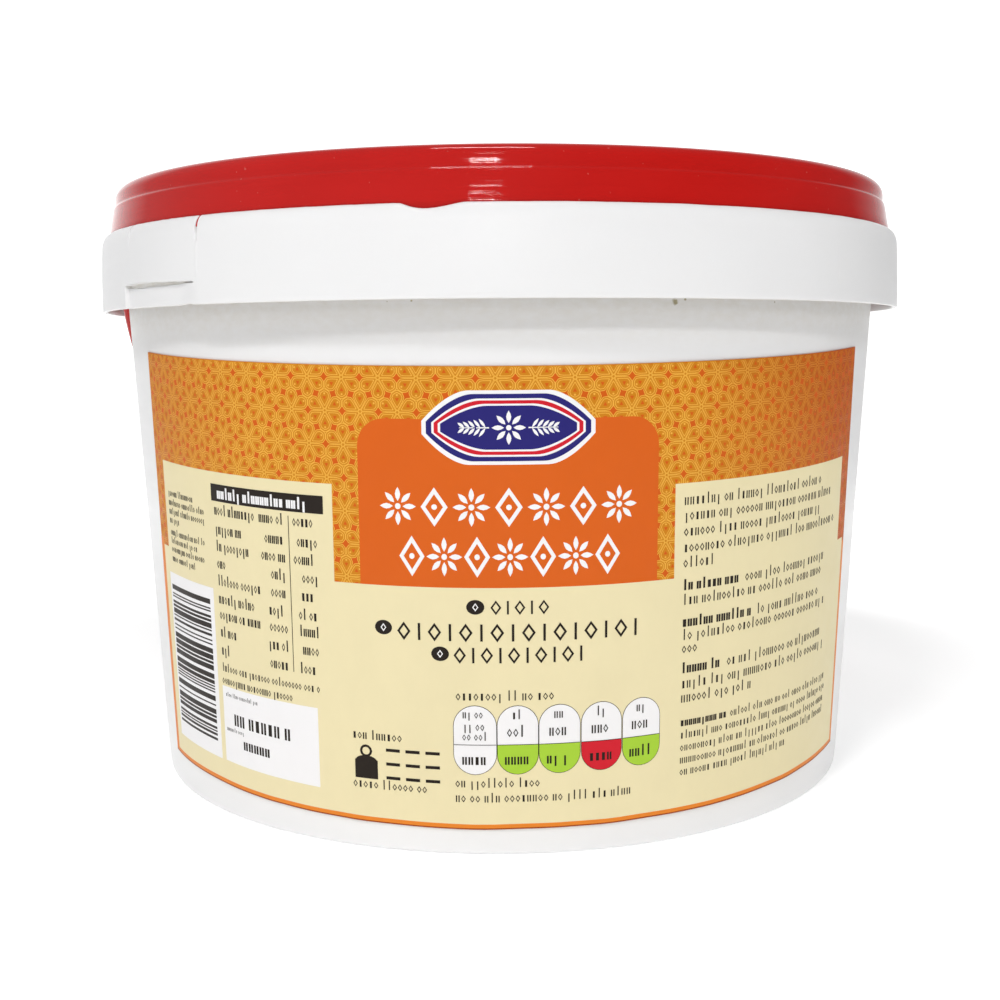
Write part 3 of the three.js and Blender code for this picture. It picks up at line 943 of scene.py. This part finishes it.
def hoop(outer, inner):
    """A closed flat ring between two outlines with as many points each, counter-clockwise."""
    count = len(outer)
    points = [(x, y, z) for z in (-MARK_DEPTH, 0) for loop in (outer, inner) for x, y in loop]
    faces = []
    for i in range(count):
        j = (i + 1) % count
        faces.append((i + count, j + count, j, i))
        faces.append((i + 2 * count, j + 2 * count, j + 3 * count, i + 3 * count))
        faces.append((i, j, j + 2 * count, i + 2 * count))
        faces.append((j + count, i + count, i + 3 * count, j + 3 * count))
    return points, faces


def shape_from(name, *parts):
    """One helper object from several (points, faces), in millimetres."""
    points, faces = [], []
    for part in parts:
        add_part(points, faces, *part)
    return plain_mesh(name, points, faces)


def print_marks(name, shape, places, level, ink):
    """Prints a shape at places (along, up, turn in degrees, width, height) on the label."""
    ink_top = SHEET_TOP + INK_STEP * level
    base = plain_mesh(name + "_places", [(place[0], place[1], ink_top) for place in places])
    turns = base.data.attributes.new("turn", "FLOAT_VECTOR", "POINT")
    sizes = base.data.attributes.new("size", "FLOAT_VECTOR", "POINT")
    for i, (_, _, turn, wide, tall) in enumerate(places):
        turns.data[i].vector = (0, 0, math.radians(turn))
        sizes.data[i].vector = (wide, tall, 1)
    marks = grow(name, base, stamp_tree, {"Mark": shape, "Ink": ink}, sharp=0)
    return hand_over(marks)


def scaled(outline, share, middle):
    """An outline drawn in towards its middle."""
    return [tuple(m + (c - m) * share for m, c in zip(middle, point)) for point in outline]


def toward(start, length, angle):
    """The point at that length from start, at an angle in radians from +X."""
    return (start[0] + length * math.cos(angle), start[1] + length * math.sin(angle))


def disc(radius, count, middle=(0, 0)):
    """The outline of a small round."""
    return [toward(middle, radius, math.tau * i / count) for i in range(count)]


# A petal is a round-ended leaf from a star's middle (at 0, 0) to the middle of a lattice
# triangle, drawn as two pale lines one inside the other. It lies along +X.
petal_reach = STAR_PITCH / math.sqrt(3)
petal_side = STAR_PITCH / 2
petal_half = [(0.25, 0.12), (2.1, 1.19), (3.15, 1.6), (4.1, 1.22), (4.66, 0.26)]
petal = [(x, -y) for x, y in petal_half] + [(x, y) for x, y in reversed(petal_half)]
PETAL_MIDDLE = 2.95
petal_middle = (PETAL_MIDDLE, 0)
petal_lines = shape_from(
    "petal_lines",
    hoop(petal, scaled(petal, 0.90, petal_middle)),
    hoop(scaled(petal, 0.74, petal_middle), scaled(petal, 0.63, petal_middle)),
    slab(disc(0.24, 6, (3.62, 0))),
)
petal_core = shape_from("petal_core", slab([(2.25, 0.0), (3.0, -0.46), (3.0, 0.46)]))
gap_diamond = shape_from("gap_diamond", slab([
    (0.92, 0), (0.41, 0.5), (0, 1.36), (-0.41, 0.5),
    (-0.92, 0), (-0.41, -0.5), (0, -1.36), (0.41, -0.5),
]))

ARCH_LEFT, ARCH_RIGHT, ARCH_TOP, ARCH_CORNER = -31.0, 34.3, 90.3, 6.0
CREAM_TOP = 54.3
LEFT_PANEL = (-96.7, -37.3, 75.8)
RIGHT_PANEL = (38.5, 99.0, 75.2)


def on_lattice(along, up, margin=0.0):
    """Whether a place on the label shows the lattice, by at least that margin."""
    if up < CREAM_TOP + margin:
        return False
    if ARCH_LEFT - margin < along < ARCH_RIGHT + margin and up < ARCH_TOP + margin:
        return False
    for left, right, top in (LEFT_PANEL, RIGHT_PANEL):
        if left - margin < along < right + margin and up < top + margin:
            return False
    return True


def on_sheet(along, up, margin):
    """Whether a place lies on the sheet, at least that far from its edges."""
    across = LABEL_LEFT + margin < along < LABEL_RIGHT - margin
    return across and margin < up < LABEL_HEIGHT - margin


petal_places, gap_places = [], []
for row in range(-1, 16):
    for column in range(-15, 16):
        across = (column + (row % 2) / 2) * STAR_PITCH
        star = (STAR_START[0] + across, STAR_START[1] + row * STAR_ROW)
        for turn in range(30, 390, 60):
            tip = toward(star, petal_reach, math.radians(turn))
            half = (star[0] + tip[0]) / 2, (star[1] + tip[1]) / 2
            body = toward(star, PETAL_MIDDLE, math.radians(turn))
            if on_lattice(*half, -3.2) and on_sheet(*body, -1.2):
                petal_places.append((*star, turn, 1, 1))
        for turn in (0, 60, 120):
            middle = toward(star, petal_side, math.radians(turn))
            if on_sheet(*middle, 0.0) and on_lattice(*middle, -2.0):
                gap_places.append((*middle, turn, 1, 1))

pale_line_ink = new_ink("pale_line_ink", (0.80, 0.43, 0.06, 1.0), shaded_ends=(0.58, 0.16, 0.012, 1.0))
deep_orange_ink = new_ink("deep_orange_ink", (0.62, 0.10, 0.004, 1.0))
print_marks("lattice_diamonds", gap_diamond, gap_places, 1, deep_orange_ink)
print_marks("lattice_petal_cores", petal_core, petal_places, 1, deep_orange_ink)
print_marks("lattice_lines", petal_lines, petal_places, 1.4, pale_line_ink)
clear(petal_lines, petal_core, gap_diamond)

# ---- Panels ----
# Plain fields of ink over the lattice: the orange arch behind the title, cream panels for the
# small print, and a thin orange line along the sheet's foot and sides.

orange_ink = new_ink("orange_ink", (0.66, 0.115, 0.008, 1.0))
cream_ink = new_ink("cream_ink", (0.80, 0.71, 0.44, 1.0))
# The rust ink is painted shadow, for the sheet's foot below.
foot_shadow_ink = new_ink("foot_shadow_ink", paint(150, 66, 16))
BORDER_TOP = 1.2
BORDER_LEFT = 2.2
BORDER_RIGHT = 1.6

arch = rounded(ARCH_LEFT, ARCH_RIGHT, CREAM_TOP, ARCH_TOP, ARCH_CORNER, 0.0)
print_fields("arch_panel", [arch], 2, orange_ink)
print_fields("cream_panels", [
    straight(LEFT_PANEL[0], LEFT_PANEL[1], CREAM_TOP, LEFT_PANEL[2]),
    straight(RIGHT_PANEL[0], RIGHT_PANEL[1], CREAM_TOP, RIGHT_PANEL[2]),
    straight(LABEL_LEFT + BORDER_LEFT, LABEL_RIGHT - BORDER_RIGHT, BORDER_TOP, CREAM_TOP),
], 2, cream_ink)
border_ink = new_ink("border_ink", paint(226, 130, 42))
print_fields("border_line", [
    straight(LABEL_LEFT, LABEL_RIGHT, 0.15, BORDER_TOP),
    straight(LABEL_LEFT, LABEL_LEFT + BORDER_LEFT, BORDER_TOP, 56.0),
    straight(LABEL_RIGHT - BORDER_RIGHT, LABEL_RIGHT, BORDER_TOP, 53.3),
], 1.6, border_ink)
# Painted shadow: a dark rust strip 0.3 mm high along the very foot of the sheet, standing for the
# thin shadow along its lower edge.
print_fields("border_shade", [straight(LABEL_LEFT, LABEL_RIGHT, 0.0, 0.3)], 2, foot_shadow_ink)

# ---- Plaque ----
# A six-sided badge at the head of the arch, in the usual white, navy and red of such badges,
# with a plain star flower and two sprays of leaves instead of a name.

PLAQUE_MIDDLE = (1.65, 88.55)
PLAQUE_HALF = (18.3, 7.8)
PLAQUE_SHOULDER = 11.0

white_ink = new_ink("white_ink", paint(238, 237, 238), mottle=0.006)
navy_ink = new_ink("navy_ink", paint(38, 34, 112))
red_ink = new_ink("red_ink", paint(205, 28, 44))


def badge(inset):
    """The columns of the badge, drawn in by inset."""
    middle = PLAQUE_MIDDLE
    half, tall = PLAQUE_HALF[0] - inset * 1.25, PLAQUE_HALF[1] - inset
    columns = []
    for i in range(49):
        across = -half + 2 * half * i / 48
        slope = min(1.0, (half - abs(across) + 1.2) / PLAQUE_SHOULDER)
        reach = tall * (1 - (1 - slope) ** 1.7)
        columns.append((middle[0] + across, middle[1] - reach, middle[1] + reach))
    return columns


for level, name, inset, ink in (
    (3, "plaque_edge", 0, white_ink),
    (4, "plaque_navy", 0.75, navy_ink),
    (5, "plaque_line", 1.7, white_ink),
    (6, "plaque_red", 2.1, red_ink),
    (7, "plaque_line_inner", 2.8, white_ink),
    (8, "plaque_field", 3.2, navy_ink),
):
    print_fields(name, [badge(inset)], level, ink)


def leaf(root, tip, wide):
    """A pointed leaf's outline between two ends, counter-clockwise."""
    along = (tip[0] - root[0], tip[1] - root[1])
    length = math.hypot(*along)
    side = (-along[1] / length * wide / 2, along[0] / length * wide / 2)
    bulge = [(0.25, 0.75), (0.5, 1.0), (0.75, 0.7)]
    places = [(share, -swell) for share, swell in bulge] + list(reversed(bulge))
    outline = [
        tuple(r + a * share + s * swell for r, a, s in zip(root, along, side))
        for share, swell in places
    ]
    return [root] + outline[:3] + [tip] + outline[3:]


def flower_parts(petals, inner, outer, wide, heart):
    """A flower of pointed petals round a small disc."""
    parts = [slab(disc(heart, 12))]
    for i in range(petals):
        angle = math.tau * i / petals + math.pi / 2
        parts.append(slab(leaf(toward((0, 0), inner, angle), toward((0, 0), outer, angle), wide)))
    return parts


flower = shape_from("flower", *flower_parts(8, 1.05, 3.9, 1.15, 0.62))
spray_parts = [slab([(0, -0.14), (7.6, -0.08), (7.6, 0.08), (0, 0.14)])]
for i in range(5):
    for side in (-1, 1):
        root = (0.9 + 1.35 * i, 0.1 * side)
        spray_parts.append(slab(leaf(root, (root[0] + 1.7, (2.0 - 0.22 * i) * side), 0.72)))
spray = shape_from("spray", *spray_parts)
print_marks("plaque_flower", flower, [(*PLAQUE_MIDDLE, 0, 0.92, 0.92)], 10, white_ink)
print_marks("plaque_sprays", spray, [
    (PLAQUE_MIDDLE[0] + 4.1, PLAQUE_MIDDLE[1], 0, 0.82, 0.95),
    (PLAQUE_MIDDLE[0] - 4.1, PLAQUE_MIDDLE[1], 180, 0.82, 0.95),
], 10, white_ink)

# ---- Title ornament ----
# Two rows of white flowers and outlined diamonds fill the arch where a title would stand. They
# are printed in the same white ink as the badge.


def diamond(wide, tall):
    """A diamond's outline from half its width and half its height, counter-clockwise."""
    return [(0, -tall), (wide, 0), (0, tall), (-wide, 0)]


diamond_ring = hoop(diamond(2.9, 4.2), diamond(1.9, 2.75))
diamond_line = shape_from("diamond_line", diamond_ring, slab(disc(0.62, 10)))
top_row = [(-22.1 + 7.9 * i, 71.7) for i in range(7)]
foot_row = [(-19.2 + 7.0 * i, 61.0) for i in range(7)]
print_marks("title_flowers", flower, [
    *((x, y, 0, 1.02, 1.06) for x, y in top_row[0::2]),
    *((x, y, 0, 0.98, 1.08) for x, y in foot_row[1::2]),
], 3, white_ink)
print_marks("title_diamonds", diamond_line, [
    *((x, y, 0, 1.0, 1.0) for x, y in top_row[1::2]),
    *((x, y, 0, 0.95, 1.05) for x, y in foot_row[0::2]),
], 3, white_ink)

# ---- Small print ----
# Where lettering would stand there are only rows of plain strokes, grouped like words, on the
# cream panels. Two lines of outlined diamonds stand for the larger lines below the arch.

black_ink = new_ink("black_ink", paint(34, 26, 20), roughness=0.38)
stroke = shape_from("stroke", slab([(x / 2, y / 2) for x, y in SQUARE]))
small_diamond = shape_from("small_diamond", hoop(diamond(0.72, 1.0), diamond(0.44, 0.62)))
draw = random.Random(41)


def words(left, right, foot, tall, weight=0.12, tight=0.56):
    """Marks (kind, place) that fill a line from left to right like words of small print."""
    marks = []
    cell = tall * tight
    line = tall * weight
    body = tall * 0.68
    middle = foot + body / 2
    at = left
    while at + cell < right:
        for _ in range(draw.choice((2, 3, 4, 5, 6, 7, 8, 9))):
            if at + cell > right:
                break
            kind = draw.random()
            centre = at + cell * 0.45
            if kind < 0.40 and weight < 0.15:
                marks.append(("diamond", (centre, middle, 0, cell * 0.58, body * 0.52)))
            elif kind < 0.66:
                for edge in (0.2, 0.66):
                    marks.append(("stroke", (at + cell * edge, middle, 0, line, body)))
            elif kind < 0.80:
                marks.append(("stroke", (centre, foot + tall / 2, 0, line, tall)))
            elif kind < 0.88:
                marks.append(("stroke", (centre, foot + body * 0.3, 0, line, body * 1.3)))
            else:
                marks.append(("stroke", (centre, middle, 0, line * 1.7, body)))
            at += cell
        at += cell * 0.55
    return marks


def print_words(name, marks, level, ink):
    """Prints every kind of mark of the small print in one ink."""
    for kind, shape in (("stroke", stroke), ("diamond", small_diamond)):
        places = [place for found, place in marks if found == kind]
        if places:
            print_marks(name + "_" + kind + "s", shape, places, level, ink)


print_strokes = []
chain = []
language_lines = [(-2.6, 10.2, 48.4, 3.2), (-23.0, 31.0, 42.4, 4.1), (-10.6, 18.5, 37.6, 3.7)]
for left, right, foot, tall in language_lines:
    count = round((right - left) / (tall * 0.82))
    pitch = (right - left) / count
    for i in range(count):
        middle = left + pitch * (i + 0.5)
        if i % 2 == 0:
            chain.append((middle, foot + tall / 2, 0, tall / 2, tall / 2))
        else:
            print_strokes.append(("stroke", (middle, foot + tall / 2, 0, tall * 0.13, tall * 0.92)))
print_marks("language_diamonds", small_diamond, chain, 4, black_ink)

# Lines as words() takes them: left, right, foot, height, then the strokes' weight and pitch.
lines = [(-10.2, 11.5, 29.4, 2.3), (-10.5, 9.7, 9.7, 2.2), (-10.5, 29.1, 6.3, 2.2)]
lines += [(-33.9, -22.1, 19.2, 2.2, 0.14), (-34.0, -16.5, 7.9, 2.2)]
table_rows = [
    (65.8, -58.1, -57.3, -47.7), (61.3, -62.3, -55.8, -46.7), (57.3, -60.5, -57.0, -47.7),
    (53.2, -69.0, -54.3, -45.6), (49.1, -57.0, -54.5, -45.9), (44.8, -58.8, -55.3, -46.8),
    (41.0, -57.5, -55.3, -46.8), (36.8, -65.2, -55.8, -46.0), (32.4, -68.7, -55.6, -47.0),
]
for foot, end, second, third in table_rows:
    for left, right in ((-72.3, end), (second, -49.7), (third, -41.2)):
        lines.append((left, right, foot, 2.6, 0.13, 0.42))
lines += [(-72.4, -41.4, 28.4, 2.1, 0.12, 0.46), (-72.6, -49.3, 25.3, 2.1, 0.12, 0.46)]
address = [(-81.0, 67.4), (-75.9, 65.1), (-76.1, 62.9), (-88.2, 60.7)]
address += [(-76.6, 57.7), (-80.2, 55.6), (-77.1, 53.5), (-81.3, 51.1)]
lines += [(-94.4, end, foot, 1.7, 0.13, 0.5) for end, foot in address]

PARAGRAPH_LEFT = 40.7
paragraphs = [
    (70.4, 87.2, 2.5, 0), (67.0, 93.2, 2.5, 0), (63.5, 87.4, 2.5, 0), (59.9, 95.1, 2.5, 0),
    (56.5, 51.2, 2.5, 0), (51.4, 90.6, 2.5, 57.5), (48.1, 88.9, 2.5, 0), (43.1, 87.7, 2.5, 61.5),
    (40.1, 92.1, 2.5, 0), (37.1, 46.6, 2.5, 0), (32.5, 90.4, 2.5, 52.6), (29.0, 93.4, 2.5, 0),
    (25.7, 61.6, 2.5, 0), (20.2, 94.7, 2.0, 54.0), (17.3, 95.2, 2.0, 0),
    (14.35, 94.8, 2.0, 0), (11.45, 94.8, 2.0, 0), (8.65, 75.1, 2.0, 0),
]
for foot, end, tall, bold_end in paragraphs:
    if bold_end:
        lines.append((PARAGRAPH_LEFT, bold_end, foot, tall, 0.2))
    lines.append((bold_end + 0.6 if bold_end else PARAGRAPH_LEFT, end, foot, tall))
for line in lines:
    print_strokes += words(*line)
print_strokes.append(("stroke", (-48.75, 50.2, 0, 0.16, 35.6)))

# ---- Nutrition lozenges ----
# Five rounded tokens in a row, white above and coloured below, each with a fine dark outline.
# They are layers of ink: the outline first, then the white body, then the coloured foot.

LOZENGE_FOOT, LOZENGE_TOP, LOZENGE_SPLIT = 12.6, 28.3, 19.4
LOZENGE_LINE = 0.13
lozenges = [(-10.8, -1.3), (-1.3, 7.75), (7.75, 16.95), (17.05, 26.35), (26.45, 35.5)]
lime_ink = new_ink("lime_ink", paint(164, 204, 58))


def token(left, right, inset, top):
    """The columns of a lozenge drawn in by inset, and cut off at top."""
    corner = (right - left) / 2 - inset - 0.01
    foot, head = LOZENGE_FOOT + inset, LOZENGE_TOP - inset
    columns = rounded(left + inset, right - inset, foot, head, corner)
    return [(x, low, min(high, top)) for x, low, high in columns if low < top - 0.05]


for name, which, inset, top, level, ink in (
    ("lozenge_lines", (0, 1, 2, 3, 4), 0, LOZENGE_TOP, 3, black_ink),
    ("lozenge_bodies", (0, 1, 2, 3, 4), LOZENGE_LINE, LOZENGE_TOP, 4, white_ink),
    ("lozenge_greens", (1, 2, 4), LOZENGE_LINE, LOZENGE_SPLIT, 5, lime_ink),
    ("lozenge_red", (3,), LOZENGE_LINE, LOZENGE_SPLIT, 5, red_ink),
):
    print_fields(name, [token(*lozenges[i], inset, top) for i in which], level, ink)
lozenge_strokes = []
for left, right in lozenges:
    length = (right - left - 0.3) / 6
    for i in range(6):
        middle = left + 0.15 + length * (i + 0.5)
        lozenge_strokes.append(("stroke", (middle, LOZENGE_SPLIT, 0, length, 0.12)))
first_words = [(5.4, 25.4, 2.0), (5.2, 22.6, 2.1), (5.6, 20.4, 2.0)]
other_words = [(2.6, 25.2, 2.2), (4.8, 21.2, 2.7)]
for number, (left, right) in enumerate(lozenges):
    middle = (left + right) / 2
    for wide, foot, tall in first_words if number == 0 else other_words:
        lozenge_strokes += words(middle - wide / 2, middle + wide / 2, foot, tall, 0.12, 0.5)
    lozenge_strokes += words(middle - 2.9, middle + 2.9, 14.9, 2.6, 0.15, 0.52)
print_words("lozenge", lozenge_strokes, 6.5, black_ink)

# ---- Bar code, table head and date ----
# White boxes on the left panel, one under a ladder of black bars and one for the date stamp,
# a black bar that heads the table, and small black ovals before the larger lines.

code_box = [(-97.0 + 22.6 * i / 21, 6.0, 48.0) for i in range(22)]
date_box = straight(-72.7, -42.6, 6.2, 24.8)
print_fields("white_boxes", [code_box, date_box], 3, white_ink)
bars = []
rung = 10.0
draw = random.Random(9)
while rung < 44.6:
    thick = draw.choice((0.35, 0.35, 0.62, 0.62, 0.95, 1.25))
    bars.append(straight(-96.0, -76.0, rung, rung + thick))
    rung += thick + draw.choice((0.35, 0.35, 0.6, 0.85))
print_fields("code_bars", bars, 4, black_ink)


def oval(middle, wide, tall):
    """The columns of an oval."""
    columns = []
    for i in range(15):
        share = -0.985 + 1.97 * i / 14
        reach = tall / 2 * math.sqrt(1 - share * share)
        columns.append((middle[0] + wide / 2 * share, middle[1] - reach, middle[1] + reach))
    return columns


ovals = [(-5.7, 50.1), (-25.9, 45.0), (-13.4, 39.7)]
weight_body = [
    (-33.4 + 5.4 * i / 8, 10.1, 10.1 + 5.3 - 1.1 * abs(i / 4 - 1) ** 3) for i in range(9)
]
print_fields("table_head", [straight(-73.2, -39.6, 69.0, 73.0)], 4, black_ink)
print_fields("language_ovals", [oval(middle, 3.9, 3.2) for middle in ovals], 4, black_ink)
print_fields("weight_sign", [weight_body], 4, black_ink)
weight_ring = shape_from("weight_ring", hoop(disc(1.45, 12), disc(0.9, 12)))
print_marks("weight_ring_mark", weight_ring, [(-30.7, 16.5, 0, 1, 1)], 4, black_ink)
for i in range(3):
    for level in (10.7, 13.9, 17.1):
        print_strokes.append(("stroke", (-24.4 + 4.5 * i, level, 0, 3.2, 0.7)))
for line in (
    (-68.8, -49.6, 15.7, 4.1, 0.15, 0.5),
    (-65.7, -55.0, 10.4, 3.0, 0.2, 0.6),
    (-71.5, -60.0, 22.4, 1.1, 0.12, 0.5),
    (-71.7, -65.2, 13.9, 1.1, 0.12, 0.5),
):
    print_strokes += words(*line)
print_words("small_print", print_strokes, 4, black_ink)
print_words("table_head", words(-70.9, -43.0, 69.7, 2.7, 0.2, 0.5), 5, white_ink)
oval_places = [(*middle, 0, 0.9, 0.9) for middle in ovals]
print_marks("oval_diamonds", small_diamond, oval_places, 5, white_ink)
clear(flower, spray, diamond_line, small_diamond, stroke, weight_ring)

# ---- Stage ----
# A pale floor, a white dome that only the camera sees, soft lamps and the camera. The thin
# strip lamps give the lid its bright lines. None of it belongs to the pail.

PURE_WHITE = (1, 1, 1, 1)
AIM = Vector((0, 0, 0.1))

white_floor, tree, shader, place = new_finish("pale_floor", 0.9)
flat = put(tree, "ShaderNodeVectorMath", {0: place, 1: (1.0, 1.0, 0.0)}, operation="MULTIPLY")
apart = put(tree, "ShaderNodeVectorMath", {0: flat[0]}, operation="LENGTH")["Value"]
feed(tree, shader, {
    "Base Color": (0.95, 0.95, 0.95, 1),
    "Emission Color": PURE_WHITE,
    "Emission Strength": between(tree, apart, 0.30, 1.05, 0.22, 0.58),
})
FLOOR_RADIUS = 700
floor_edge = [round_axis(FLOOR_RADIUS, 5 * i, -0.05) for i in range(72)]
floor = plain_mesh("floor", floor_edge, [tuple(range(72))])
floor.data.materials.append(white_floor)

world = bpy.data.worlds.new("studio")
bpy.context.scene.world = world
world.use_nodes = True
sky = world.node_tree
looking = put(sky, "ShaderNodeSeparateXYZ", {0: put(sky, "ShaderNodeTexCoord")["Generated"]})
backdrop = between(sky, looking[1], 0.22, 1.2, 0.5, 0.9)
backdrop = calc(sky, "MULTIPLY", backdrop, between(sky, looking[0], 1.0, 0.5, 0.1, 0.7))
sideways = between(sky, looking[0], 0.12, 0.0, -0.9, 0.3)
strength = calc(sky, "ADD", backdrop, sideways)
feed(sky, sky.nodes["Background"], {"Strength": strength, "Color": PURE_WHITE})

DOME_RADIUS = 5500
dome_outline = arc((0, 0), DOME_RADIUS, DOME_RADIUS, -90, 90, 24)
dome = turned_piece("backdrop", dome_outline, turns_round(7.5, []))
glow, tree, shader, place = new_finish("white_backdrop", 1.0)
feed(tree, shader, {
    "Base Color": PURE_WHITE,
    "Emission Color": PURE_WHITE,
    "Emission Strength": 1.1,
})
dome.data.materials.append(glow)
for rays in ("diffuse", "glossy", "transmission", "shadow"):
    setattr(dome, "visible_" + rays, False)


# Each lamp: its turn and rise in degrees as seen from the pail, its distance, width and height
# in metres, its power, and whether it shows in gloss.
LAMPS = {
    "key": (-24, 50, 1.6, 0.30, 0.13, 7.6, False),
    "second": (12, 40, 1.6, 0.30, 0.12, 5.8, False),
    "right_fill": (86, 14, 1.6, 0.5, 0.4, 3.2, False),
    "left_fill": (-80, 14, 1.6, 0.5, 0.4, 0.8, False),
    "low_strip": (-3.5, 14, 1.3, 0.17, 0.014, 0.85, True),
    "middle_strip": (-3.5, 24, 1.3, 0.17, 0.004, 0.12, True),
    "high_strip": (-3.5, 41, 1.3, 0.17, 0.006, 0.22, True),
    "top_strip": (-12, 78, 1.1, 0.34, 0.05, 1.5, True),
}
for name, (turn, rise, distance, wide, high, power, mirrored) in LAMPS.items():
    light = bpy.data.lights.new(name, "AREA")
    light.shape = "RECTANGLE"
    light.size = wide
    light.size_y = high
    light.energy = power
    lamp = add_object(name, light)
    up = math.radians(rise)
    away = Vector(round_axis(math.cos(up) * distance, turn, math.sin(up) * distance))
    facing = away.to_track_quat("Z", "Y").to_matrix().to_4x4()
    lamp.matrix_world = Matrix.Translation(AIM + away) @ facing
    lamp.visible_glossy = mirrored

CAMERA_PLACE = (0, -0.3736, 0.1103)
CAMERA_TILT = -6.39
CAMERA_ROLL = -0.40
camera_data = bpy.data.cameras.new("camera")
camera_data.lens = 47.36
camera_data.sensor_width = 36
camera_data.shift_x = -0.0013
camera = add_object("camera", camera_data)
camera_turn = turned(90 + CAMERA_TILT, "X") @ turned(CAMERA_ROLL, "Z")
camera.matrix_world = Matrix.Translation(CAMERA_PLACE) @ camera_turn
bpy.context.scene.camera = camera
bpy.context.scene.view_settings.view_transform = "Standard"
